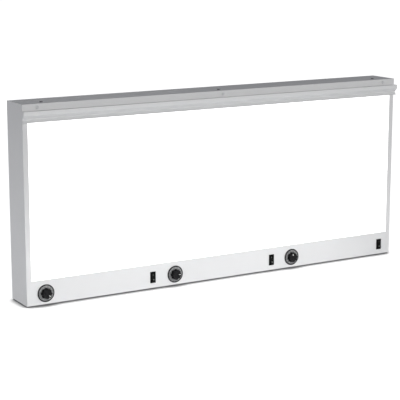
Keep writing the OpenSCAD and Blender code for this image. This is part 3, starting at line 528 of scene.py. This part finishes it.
class StageSettings(bpy.types.PropertyGroup):
    """Camera and light."""

    camera_place: bpy.props.FloatVectorProperty(
        name="Camera", description="Where the camera stands",
        default=(-1.87146, -3.10889, 0.95588), subtype="TRANSLATION", unit="LENGTH", size=3,
    )
    yaw: bpy.props.FloatProperty(
        name="Yaw", description="How far the camera looks to the right of straight ahead",
        default=math.radians(30.416), subtype="ANGLE",
    )
    pitch: bpy.props.FloatProperty(
        name="Pitch", description="How far the camera looks down",
        default=math.radians(11.52), subtype="ANGLE",
    )
    lens: bpy.props.FloatProperty(
        name="Lens", description="Focal length in millimetres for a frame 36 mm wide", default=119.38, min=10
    )
    floor_glow: bpy.props.FloatProperty(
        name="Floor glow", description="Light that the pale floor adds of its own", default=1.0, min=0
    )
    # Reach of the floor's painted contact shadow, where its own glow is dimmed near the viewer
    shadow_reach: bpy.props.FloatProperty(
        name="Shadow reach", description="How far from the feet the floor's own glow is dimmed",
        default=36 * MM, unit="LENGTH", min=0,
    )
    room_light: bpy.props.FloatProperty(
        name="Room light", description="Strength of the even light from the room", default=0.255, min=0
    )
    front_light: bpy.props.FloatProperty(
        name="Front light", description="Power of the softbox in front", default=43, min=0, unit="POWER"
    )
    low_light: bpy.props.FloatProperty(
        name="Low light", description="Power of the long softbox close to the control strip",
        default=2.1, min=0, unit="POWER",
    )
    left_light: bpy.props.FloatProperty(
        name="Left light", description="Power of the softbox on the left", default=5.2, min=0, unit="POWER"
    )
    right_light: bpy.props.FloatProperty(
        name="Right light", description="Power of the softbox on the right", default=16, min=0, unit="POWER"
    )
    back_light: bpy.props.FloatProperty(
        name="Back light", description="Power of the softbox behind", default=28, min=0, unit="POWER"
    )


def settings(group):
    """One group of settings of the scene."""
    return getattr(bpy.context.scene, group)


# Operators


class VIEWER_OT_body(bpy.types.Operator):
    """Painted housing and front frame with rounded edges"""

    bl_idname = "viewer.body"
    bl_label = "Body"

    def execute(self, context):
        paint = settings("viewer_paint")
        coat = powder_coat("steel_paint", paint.steel, paint.steel_roughness)
        soften("rear_housing", "housing_shell", VIEWER, coat, paint.edge_radius)
        soften("front_frame", "front_sheet", VIEWER, coat, paint.edge_radius)
        return {"FINISHED"}


class VIEWER_OT_rail(bpy.types.Operator):
    """Film rail with its end caps, stops and rollers"""

    bl_idname = "viewer.rail"
    bl_label = "Film rail"

    def execute(self, context):
        paint = settings("viewer_paint")
        metal = extruded_aluminium("rail_metal", paint.rail, 0.52)
        cap = powder_coat("cap_paint", paint.steel, paint.steel_roughness)
        cap_edge = 0.35 * MM
        soften("film_rail", "rail_profile", VIEWER, metal, paint.edge_radius)
        soften("rail_end_cap_left", "end_cap_left", VIEWER, cap, cap_edge)
        soften("rail_end_cap_right", "end_cap_right", VIEWER, cap, cap_edge)
        steel = ground_steel("roller_steel", (0.55, 0.56, 0.57), 0.3)
        for bay in BAYS:
            dress(f"grip_roller_{bay}", steel)
        dress("roller_stops", moulded_plastic("stop_plastic", (0.80, 0.80, 0.78), 0.5))
        return {"FINISHED"}


class VIEWER_OT_screen(bpy.types.Operator):
    """Lit opal screen"""

    bl_idname = "viewer.screen"
    bl_label = "Screen"

    def execute(self, context):
        paint = settings("viewer_paint")
        opal = opal_acrylic("opal", (0.95, 0.955, 0.95), 0.35, paint.screen_glow)
        soften("diffuser_screen", "opal_sheet", VIEWER, opal, radius=0.4 * MM)
        return {"FINISHED"}


class VIEWER_OT_dials(bpy.types.Operator):
    """Black dial bases, scale rings, ticks and numbers"""

    bl_idname = "viewer.dials"
    bl_label = "Dials"

    def execute(self, context):
        dial = settings("viewer_dial")
        black = moulded_plastic(
            "dial_black", (0.008, 0.008, 0.009), 0.3, grain=700, depth=0.008, specular=0.2
        )
        white = moulded_plastic("scale_print", (0.62, 0.62, 0.60), 0.55, grain=2600, depth=0.004)
        digits = [number_shape(str(k), dial.number_height) for k in range(dial.steps + 1)]
        for bay in BAYS:
            self.dial(bay, dial, black, white, digits)
        return {"FINISHED"}

    def dial(self, bay, dial, black, white, digits):
        """Base: turned ring with a raised rim. Ring: turned washer. Scale: bars and numbers on it."""
        centre = middle(f"dial_ring_{bay}")
        base_low, base_high = low_high(f"dial_base_{bay}")
        ring_low, ring_high = low_high(f"dial_ring_{bay}")
        base_r = (base_high[0] - base_low[0]) / 2
        rim_h = FRONT_Y - base_low[1]
        ring_r = (ring_high[0] - ring_low[0]) / 2
        floor_h = FRONT_Y - ring_high[1]
        top_h = FRONT_Y - ring_low[1]
        bush_r, hole_r = 4.55 * MM, 11.1 * MM
        rim_in = ring_r + 0.3 * MM
        # Roundings of the inner corners, of outer edges and of both sides of the rim's crown
        corner, edge, outside, inside = 0.1 * MM, 0.15 * MM, 1.5 * MM, 1.1 * MM
        foot = [(bush_r, 0), (base_r, 0)]
        rim = [(base_r, rim_h), (rim_in, rim_h)]
        well = [(rim_in, floor_h), (bush_r, floor_h)]
        profile = rounded_outline([*foot, *rim, *well], [corner, edge, outside, inside, corner, corner])
        rings = facing_front(turned(profile, 128), centre)
        put(f"dial_{bay}_base", [skin(rings, True)], VIEWER, black, [f"dial_base_{bay}"])
        washer = rounded_outline(rectangle(hole_r, ring_r, floor_h, top_h), edge)
        satin = scale_ring(f"dial_ring_{bay}_satin", dial.ring, 0.36, tuple(centre))
        rings = facing_front(turned(washer, 128), centre)
        put(f"dial_{bay}_ring", [skin(rings, True)], VIEWER, satin, [f"dial_ring_{bay}"])
        put(f"dial_{bay}_ticks", self.ticks(dial, ring_r, top_h, centre), VIEWER, white)
        angles = (np.linspace(0, 1, dial.steps + 1) - 0.5) * dial.sweep
        number_inset = 3.2 * MM
        reach = ring_r - number_inset
        shells = []
        for (points, faces), angle in zip(digits, angles):
            placed = points + [reach * math.sin(angle), reach * math.cos(angle), 0]
            shells.append((facing_front(placed, centre, top_h), faces))
        put(f"dial_{bay}_numbers", shells, VIEWER, white)

    def ticks(self, dial, ring_r, top_h, centre):
        """Bars along radii: each is a flat box turned to its angle; every fifth one is long."""
        parts = 5
        # Half width of a bar, and how far from the ring's edge it starts
        long_bar, short_bar = (0.2 * MM, 1.6 * MM), (0.12 * MM, 1.0 * MM)
        outer = ring_r - 0.3 * MM
        angles = (np.linspace(0, 1, dial.steps * parts + 1) - 0.5) * dial.sweep
        shells = []
        for k, angle in enumerate(angles):
            half, start = short_bar if k % parts else long_bar
            bar = extruded(rectangle(-half, half, ring_r - start, outer), 0, PRINT_PROUD)
            bar = turned_about_out(bar, angle)
            shells.append(skin(facing_front(bar, centre, top_h)))
        return shells


class VIEWER_OT_knobs(bpy.types.Operator):
    """Fluted knobs with a white mark, and their shafts"""

    bl_idname = "viewer.knobs"
    bl_label = "Knobs"

    def execute(self, context):
        knob = settings("viewer_knob")
        black = moulded_plastic(
            "knob_black", (0.008, 0.008, 0.009), 0.28, grain=1100, depth=0.02, specular=0.08
        )
        white = moulded_plastic("mark_white", (0.72, 0.72, 0.70), 0.5, grain=2600, depth=0.004)
        steel = plated_steel("shaft_steel", (0.55, 0.56, 0.57), 0.3)
        for bay, angle in zip(BAYS, (knob.angle_1, knob.angle_2, knob.angle_3)):
            low, high = low_high(f"knob_{bay}")
            centre = (low + high) / 2
            foot_h, top_h = FRONT_Y - high[1], FRONT_Y - low[1]
            body = f"knob_{bay}_body"
            rings = facing_front(turned_about_out(self.fluted(knob, foot_h, top_h), angle), centre)
            put(f"knob_{bay}_grip", [skin(rings)], body, black, [f"knob_{bay}"], sharp=50)
            mark = facing_front(turned_about_out(self.mark(knob), angle), centre, top_h)
            put(f"knob_{bay}_mark", [skin(mark)], body, white)
            dress(f"dimmer_shaft_{bay}", steel)
        return {"FINISHED"}

    def fluted(self, knob, foot_h, top_h):
        """Profile (r, h) round the axis; at angle t the radius is the softened smaller of r and the
        near side of a flute circle, which lies flute depth inside the profile at every height."""
        foot_r, top_r = knob.foot_diameter / 2, knob.top_diameter / 2
        body_h = top_h - foot_h
        climb = np.linspace(0.08, 0.90, 8)
        round_in = np.linspace(0, math.pi / 2, 6)
        shoulder = 1.0 * MM
        # Steps of the foot and of the top in from their edges, and the top's dish
        foot_in, foot_edge = 2.2 * MM, 0.3 * MM
        rim_in, dish_in, pole_r = 1.7 * MM, 2.4 * MM, 0.8 * MM
        dish_h = top_h - 0.25 * MM
        radius = np.concatenate([
            [foot_r - foot_in, foot_r - foot_edge],
            foot_r + (top_r - foot_r) * climb,
            top_r - shoulder * (1 - np.cos(round_in)),
            [top_r - rim_in, top_r - dish_in, top_r / 2, pole_r],
        ])
        height = np.concatenate([
            [foot_h, foot_h],
            foot_h + body_h * climb,
            top_h - shoulder * (1 - np.sin(round_in)),
            [top_h, dish_h, dish_h, dish_h],
        ])
        # How much of a flute is cut at each ring: whole up the side, none in the dish
        fade = [0.8, 0.5, 0, 0]
        cut_share = np.concatenate([np.ones(len(radius) - len(fade)), fade])
        turn = np.linspace(0, FULL_TURN, 32 * knob.flutes, endpoint=False)[None, :]
        pitch = FULL_TURN / knob.flutes
        off = np.mod(turn, pitch) - pitch / 2
        r, h, share = radius[:, None], height[:, None], cut_share[:, None]
        side = np.minimum(foot_r + (top_r - foot_r) * np.clip((h - foot_h) / body_h, 0, 1), foot_r)
        reach = side + knob.flute_radius - knob.flute_depth
        inside = knob.flute_radius ** 2 - (reach * np.sin(off)) ** 2
        flute = np.where(inside > 0, reach * np.cos(off) - np.sqrt(np.maximum(inside, 0)), 2 * foot_r)
        soft = 0.22 * MM
        both = -soft * np.log(np.exp(-(r - side) / soft) + np.exp(-(flute - side) / soft)) + side
        radial = np.where(share > 0, both * share + r * (1 - share), r)
        radial = np.minimum(radial, r)
        from_top = turn + math.pi / 2
        return np.stack([radial * np.cos(from_top), radial * np.sin(from_top), h + 0 * turn], axis=-1)

    def mark(self, knob):
        """Slim bar with round ends along a radius of the knob's top, sunk in and just proud of it."""
        half, inner, rim_in = 0.6 * MM, 5.6 * MM, 1.6 * MM
        sunk, proud = -0.6 * MM, 0.02 * MM
        outer = knob.top_diameter / 2 - rim_in
        return extruded(rounded_outline(rectangle(-half, half, inner, outer), 0.9 * half), sunk, proud)


class VIEWER_OT_switches(bpy.types.Operator):
    """Rocker switches with their marks"""

    bl_idname = "viewer.switches"
    bl_label = "Switches"

    def execute(self, context):
        switch = settings("viewer_switch")
        bezel = moulded_plastic(
            "bezel_black", (0.005, 0.005, 0.005), 0.3, grain=900, depth=0.012, specular=0.02
        )
        black = moulded_plastic(
            "rocker_black", (0.006, 0.006, 0.006), 0.28, grain=900, depth=0.012, specular=0.025
        )
        white = moulded_plastic("rocker_print", (0.22, 0.24, 0.22), 0.5, grain=2600, depth=0.004)
        edge = 0.5 * MM
        for bay in BAYS:
            soften(f"switch_body_{bay}", f"switch_{bay}_bezel", VIEWER, bezel, edge)
            body = f"rocker_{bay}_body"
            centre = middle(f"switch_body_{bay}")
            rings = self.placed(self.rocker(switch), switch, centre)
            piece = put(f"rocker_{bay}_key", [skin(rings)], body, black, [f"rocker_{bay}"])
            round_edges(piece, edge, 40)
            marks = [skin(self.placed(mark, switch, centre), wrap) for mark, wrap in self.marks(switch)]
            put(f"rocker_{bay}_marks", marks, body, white)
        return {"FINISHED"}

    def placed(self, points, switch, centre):
        """Tips points about the pivot, top inwards, and moves them to a place on the front."""
        pivot_h = -0.5 * MM
        cos, sin = math.cos(switch.tilt), math.sin(switch.tilt)
        up, out = points[..., 1], points[..., 2]
        tipped = np.stack([points[..., 0], up * cos + out * sin, out * cos - up * sin], axis=-1)
        return facing_front(tipped, centre, pivot_h)

    def rocker(self, switch):
        """Section: ends are arcs of the rocker's radius round the pivot, and two faces meet in a
        shallow valley. The section is carried from one side of the rocker to the other."""
        radius, under = switch.radius, -2.5 * MM
        slope = math.tan(switch.tilt)
        # Where the face height VALLEY + slope * up meets the circle of the rocker's radius
        half_b = slope * VALLEY / (1 + slope ** 2)
        far = math.sqrt(half_b ** 2 + (radius ** 2 - VALLEY ** 2) / (1 + slope ** 2)) - half_b
        turn = np.linspace(math.asin(under / radius), math.atan2(VALLEY + slope * far, far), 10)
        end = np.stack([radius * np.cos(turn), radius * np.sin(turn)], axis=-1)
        section = np.concatenate([end, [(0, VALLEY)], end[::-1] * [-1, 1]])
        sides = np.array([-0.5, 0.5])[:, None] * switch.width
        across = sides + np.zeros((1, len(section)))
        return np.stack([across, section[:, 0] + 0 * across, section[:, 1] + 0 * across], axis=-1)

    def marks(self, switch):
        """A bar on the upper face and a ring on the lower one, laid on the slope of each face."""
        slope, reach = math.tan(switch.tilt), 6.6 * MM
        half_w, half_l = 0.35 * MM, 1.7 * MM
        inner, outer = 1.2 * MM, 1.75 * MM
        sunk = -0.02 * MM
        bar = extruded(rectangle(-half_w, half_w, -half_l, half_l), sunk, PRINT_PROUD)
        ring = turned(rectangle(inner, outer, sunk, PRINT_PROUD), 48)
        laid = []
        for shape, side, wrap in ((bar, 1, False), (ring, -1, True)):
            up = shape[..., 1] + side * reach
            out = shape[..., 2] + VALLEY + slope * np.abs(up)
            laid.append((np.stack([shape[..., 0], up, out], axis=-1), wrap))
        return laid


class VIEWER_OT_screws(bpy.types.Operator):
    """Cross-head screws of the rail, the top, the underside, the feet and the inlet"""

    bl_idname = "viewer.screws"
    bl_label = "Screws"

    def execute(self, context):
        bright = plated_steel("screw_zinc", (0.60, 0.61, 0.62), 0.5, metallic=0.25)
        dark = plated_steel("screw_dark", (0.16, 0.16, 0.165), 0.45, metallic=0.4)
        foot = plated_steel("foot_screw_zinc", (0.6, 0.61, 0.62), 0.35)
        inlet = plated_steel("inlet_screw_dark", (0.12, 0.12, 0.125), 0.4)
        # Radius and height of the head, fall of its dome, rounding of its edge, radius of the shank
        # and of the head's flat underside. A sunk head has no such flat, so the last two are equal
        pan = np.array([4.2, 2.4, 0.55, 1.1, 2.0, 4.2]) * MM
        low_pan = np.array([3.4, 1.5, 0.25, 0.5, 2.0, 3.4]) * MM
        sunk = np.array([2.9, 1.5, 0.02, 0.1, 1.6, 1.6]) * MM
        # Node, slot, finish, form, axis and side that the heads face, screws along X, Y and Z
        self.row("rail_screws", "rail_screw_steel", bright, pan, 1, -1, (3, 1, 1))
        self.row("top_screws", "dark_steel", dark, pan, 2, 1, (3, 1, 1))
        self.row("bottom_screws", "dark_steel", dark, pan, 2, -1, (3, 1, 1))
        self.row("foot_screws", "zinc", foot, low_pan, 2, -1, (2, 2, 1))
        self.row("inlet_screws", "dark_steel", inlet, sunk, 0, 1, (1, 2, 1))
        return {"FINISHED"}

    def row(self, node, slot, finish, form, axis, side, counts):
        """Screws spread evenly over a node's box, their heads at the face that they look out of."""
        radius, height = form[:2]
        low, high = low_high(node)
        length = high[axis] - low[axis]
        flat = [k for k in range(3) if k != axis]
        low[flat] += radius
        high[flat] -= radius
        upright = self.screw(form, length)
        shaped = np.empty_like(upright)
        shaped[..., flat] = upright[..., :2]
        shaped[..., axis] = side * (upright[..., 2] - height)
        along = [
            np.linspace(low[k], high[k], count) if count > 1 else [(low[k] + high[k]) / 2]
            for k, count in enumerate(counts)
        ]
        along[axis] = [high[axis] if side > 0 else low[axis]]
        places = np.stack(np.meshgrid(*along, indexing="ij"), axis=-1).reshape(-1, 3)
        shells = [skin(shaped + place) for place in places]
        put(f"{node}_set", shells, VIEWER, finish, [node], sharp=30)

    def screw(self, form, length):
        """Turned head on a shank. The dome falls as the square of the radius, and a cross sinks
        into it: two arms whose depth fades to nothing towards their ends and sides."""
        radius, height, fall, rounding, shank, seat = form
        pole, dome_end = 0.02 * radius, 0.86 * radius
        depth, tip, chamfer = 0.54 * height, height - length, 0.4 * MM
        reach = np.linspace(pole, dome_end, 22)
        dome = height - fall * (reach / radius) ** 2
        round_out = np.linspace(0.15, 1, 6) * math.pi / 2
        edge = dome_end + (radius - dome_end) * np.sin(round_out)
        edge_h = dome[-1] - rounding * (1 - np.cos(round_out))
        profile = np.concatenate([
            np.stack([reach, dome], axis=-1),
            np.stack([edge, edge_h], axis=-1),
            [(seat, 0), (shank, 0)] if seat > shank else [(shank, 0)],
            [(shank, tip + chamfer), (shank - chamfer, tip)],
        ])
        rings = turned(profile, 64)
        # Half width and reach of the cross's arms and where each fades, as shares of the radius
        arm_w, arm_l, side_fade, end_fade = 0.15, 0.55, 0.06, 0.26
        top = rings[: len(reach)]
        across, along = np.sort(np.abs(top[..., :2]) / radius, axis=-1).transpose(2, 0, 1)
        sides = np.clip((arm_w - across) / side_fade, 0, 1)
        ends = np.clip((arm_l - along) / end_fade, 0, 1)
        top[..., 2] -= depth * sides * ends
        return rings


class VIEWER_OT_feet(bpy.types.Operator):
    """Rubber feet"""

    bl_idname = "viewer.feet"
    bl_label = "Feet"

    def execute(self, context):
        rubber = soft_rubber("foot_rubber", (0.03, 0.03, 0.03), 0.75)
        low, high = low_high("rubber_feet")
        radius, height = 9 * MM, high[2]
        bore_r, pocket_r, pocket_h = 2.2 * MM, 3.7 * MM, 2.2 * MM
        # Roundings of the bore's edges, the pocket's mouth and the foot's lower and upper edge
        bore, mouth, lower, upper = 0.1 * MM, 0.3 * MM, 0.8 * MM, 0.2 * MM
        pocket = [(bore_r, pocket_h), (pocket_r, pocket_h), (pocket_r, 0)]
        outside = [(radius, 0), (radius, height), (bore_r, height)]
        foot = rounded_outline([*pocket, *outside], [bore, bore, mouth, lower, upper, bore])
        rings = turned(foot, 64)
        shells = [
            skin(rings + [x, y, 0], True)
            for x in (low[0] + radius, high[0] - radius)
            for y in (low[1] + radius, high[1] - radius)
        ]
        put("feet_rubber", shells, VIEWER, rubber, ["rubber_feet"])
        return {"FINISHED"}


class VIEWER_OT_inlet(bpy.types.Operator):
    """Mains inlet in the right side"""

    bl_idname = "viewer.inlet"
    bl_label = "Mains inlet"

    def execute(self, context):
        black = moulded_plastic("inlet_plastic", (0.018, 0.018, 0.019), 0.42, grain=1000, depth=0.02)
        soften("mains_inlet", "inlet_socket", VIEWER, black, radius=0.4 * MM)
        dress("inlet_pins", plated_steel("pin_nickel", (0.6, 0.6, 0.6), 0.25))
        return {"FINISHED"}


class VIEWER_OT_inside(bpy.types.Operator):
    """Lamps, reflectors, ballasts, dimmers and wiring inside the body"""

    bl_idname = "viewer.inside"
    bl_label = "Inside"

    def execute(self, context):
        zinc = plated_steel("bracket_zinc", (0.55, 0.56, 0.57), 0.38)
        enamel = powder_coat("reflector_enamel", (0.88, 0.88, 0.87), 0.3)
        case = powder_coat("ballast_enamel", (0.80, 0.80, 0.79), 0.4)
        glass = frosted_glass("lamp_glass", (0.95, 0.95, 0.93), 0.3, 1.0)
        cap = extruded_aluminium("lamp_cap_metal", (0.62, 0.63, 0.64), 0.35)
        white = moulded_plastic("holder_white", (0.80, 0.80, 0.78), 0.4)
        grey = moulded_plastic("wire_sheath", (0.10, 0.105, 0.11), 0.45, grain=600, depth=0.02)
        for bay in BAYS:
            dress(f"reflector_{bay}", enamel)
            dress(f"ballast_{bay}", case)
            dress(f"lamp_tubes_{bay}", glass)
            dress(f"lamp_caps_{bay}", cap)
            dress(f"potentiometer_{bay}", zinc)
        dress("dimmer_nuts", zinc)
        for side in ("upper", "lower"):
            dress(f"{side}_screen_angle", zinc)
            dress(f"{side}_lamp_bracket", zinc)
        for node in ("upper_lampholders", "lower_lampholders", "terminal_block"):
            dress(node, white)
        dress("wiring", grey)
        return {"FINISHED"}


class VIEWER_OT_stage(bpy.types.Operator):
    """Pale floor, soft light and the camera at the photograph's angle"""

    bl_idname = "viewer.stage"
    bl_label = "Stage"

    def execute(self, context):
        stage = settings("viewer_stage")
        self.floor(stage)
        self.backdrop(stage)
        self.room(stage)
        white, warm = (1, 1, 1), (1.0, 0.99, 0.96)
        # Name, place, point that it faces, width, height, power and colour. The front is a little
        # warm, which keeps the part's front grey under the blue of the room
        boxes = (
            ("Front softbox", (0.2, -3.0, 1.25), (0.1, 0, 0.40), 2.2, 0.8, stage.front_light, warm),
            ("Low softbox", (-0.13, -0.40, 0.05), (-0.13, 0, 0.05), 1.5, 0.06, stage.low_light, white),
            ("Left softbox", (-1.6, 0.05, 0.05), (0, 0.05, 0.05), 0.5, 0.3, stage.left_light, white),
            ("Right softbox", (3.0, 0.0, 0.50), (0, 0, 0.30), 1.5, 1.0, stage.right_light, white),
            ("Back softbox", (0.8, 4.0, 0.45), (0, 0, 0.27), 2.6, 0.8, stage.back_light, white),
        )
        for box in boxes:
            self.softbox(*box)
        self.camera(stage)
        return {"FINISHED"}

    def floor(self, stage):
        """Flat square, large enough to fill every view, which glows less close to the viewer: a painted
        contact shadow, its glow dimmed by ambient occlusion.
        """
        half, near, far = 40.0, 0.44, 0.85
        corners = np.insert(rectangle(-half, half, -half, half), 2, 0, axis=1)
        floor, pale = self.pale_piece("floor", corners, [(0, 1, 2, 3)])
        # Painted contact shadow: the floor's own glow falls to nothing under and beside the viewer as ambient
        # occlusion rises
        shade = pale.nodes.new("ShaderNodeAmbientOcclusion")
        shade.inputs["Distance"].default_value = stage.shadow_reach
        glow = pale.ranged(shade.outputs["AO"], 0, stage.floor_glow, near, far)
        pale.links.new(glow, pale.shader.inputs["Emission Strength"])

    def backdrop(self, stage):
        """Plain drum round the floor, which only the camera sees, so that no horizon shows."""
        radius, low, high = 39.0, -1.0, 14.0
        drum, pale = self.pale_piece("backdrop", *skin(turned(np.array([(radius, low), (radius, high)]))))
        pale.shader.inputs["Emission Strength"].default_value = stage.floor_glow
        drum.visible_glossy = False
        drum.visible_transmission = False
        drum.visible_shadow = False

    def pale_piece(self, name, points, faces):
        """Piece of the stage in matt pale grey that shines by itself. Returns it and its finish."""
        mesh = bpy.data.meshes.new(name)
        mesh.from_pydata(points.tolist(), [], faces)
        piece = bpy.data.objects.new(name, mesh)
        bpy.context.scene.collection.objects.link(piece)
        pale = Finish(f"pale_{name}", (0.30, 0.30, 0.30), 0.9, specular=0.0)
        pale.mottle(pale.noise(0.7, 2), 0.004)
        pale.shader.inputs["Emission Color"].default_value = (1, 1, 1, 1)
        mesh.materials.append(pale.material)
        # Its shine throws no light on the viewer
        piece.visible_diffuse = False
        return piece, pale

    def room(self, stage):
        """Even pale light from all sides, a little blue as in the photograph's shadows."""
        world = bpy.context.scene.world or bpy.data.worlds.new("Room")
        bpy.context.scene.world = world
        world.use_nodes = True
        background = world.node_tree.nodes["Background"]
        background.inputs["Color"].default_value = (0.925, 0.935, 1.0, 1)
        background.inputs["Strength"].default_value = stage.room_light
        bpy.context.scene.view_settings.view_transform = "Standard"

    def softbox(self, name, place, target, wide, high, power, colour):
        """Rectangular light turned to face a point."""
        light = bpy.data.lights.new(name, "AREA")
        light.shape = "RECTANGLE"
        light.size = wide
        light.size_y = high
        light.energy = power
        light.color = colour
        box = bpy.data.objects.new(name, light)
        box.visible_camera = False
        bpy.context.scene.collection.objects.link(box)
        aim = np.array(target) - np.array(place)
        across = math.hypot(aim[0], aim[1])
        box.location = place
        box.rotation_euler = (math.atan2(across, -aim[2]), 0, math.atan2(aim[1], aim[0]) - math.pi / 2)

    def camera(self, stage):
        """Camera at the photograph's place, looking right by yaw and down by pitch."""
        lens = bpy.data.cameras.new("Camera")
        lens.lens = stage.lens
        lens.sensor_width = 36
        lens.sensor_fit = "HORIZONTAL"
        lens.clip_end = 200
        camera = bpy.data.objects.new("Camera", lens)
        bpy.context.scene.collection.objects.link(camera)
        camera.location = stage.camera_place
        camera.rotation_euler = (math.pi / 2 - stage.pitch, 0, -stage.yaw)
        bpy.context.scene.camera = camera


class VIEWER_PT_panel(bpy.types.Panel):
    """Sidebar panel of the film viewer"""

    bl_idname = "VIEWER_PT_panel"
    bl_label = "X-ray Film Viewer"
    bl_space_type = "VIEW_3D"
    bl_region_type = "UI"
    bl_category = "Film Viewer"

    def draw(self, context):
        for group, kind in GROUPS.items():
            box = self.layout.box()
            for name in kind.__annotations__:
                box.prop(getattr(context.scene, group), name)
        for operator in OPERATORS:
            self.layout.operator(operator.bl_idname)


GROUPS = {
    "viewer_paint": PaintSettings,
    "viewer_knob": KnobSettings,
    "viewer_dial": DialSettings,
    "viewer_switch": SwitchSettings,
    "viewer_stage": StageSettings,
}
OPERATORS = (
    VIEWER_OT_body,
    VIEWER_OT_rail,
    VIEWER_OT_screen,
    VIEWER_OT_dials,
    VIEWER_OT_knobs,
    VIEWER_OT_switches,
    VIEWER_OT_screws,
    VIEWER_OT_feet,
    VIEWER_OT_inlet,
    VIEWER_OT_inside,
    VIEWER_OT_stage,
)


def register():
    """Registers the classes and hangs each group of settings on the scene."""
    for kind in (*GROUPS.values(), *OPERATORS, VIEWER_PT_panel):
        bpy.utils.register_class(kind)
    for name, kind in GROUPS.items():
        setattr(bpy.types.Scene, name, bpy.props.PointerProperty(type=kind))


def unregister():
    """Takes the settings and the classes away again."""
    for name in GROUPS:
        delattr(bpy.types.Scene, name)
    for kind in reversed((*GROUPS.values(), *OPERATORS, VIEWER_PT_panel)):
        bpy.utils.unregister_class(kind)


def main():
    """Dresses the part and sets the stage."""
    register()
    bpy.ops.viewer.body()
    bpy.ops.viewer.rail()
    bpy.ops.viewer.screen()
    bpy.ops.viewer.dials()
    bpy.ops.viewer.knobs()
    bpy.ops.viewer.switches()
    bpy.ops.viewer.screws()
    bpy.ops.viewer.feet()
    bpy.ops.viewer.inlet()
    bpy.ops.viewer.inside()
    bpy.ops.viewer.stage()


if __name__ == "__main__":
    main()
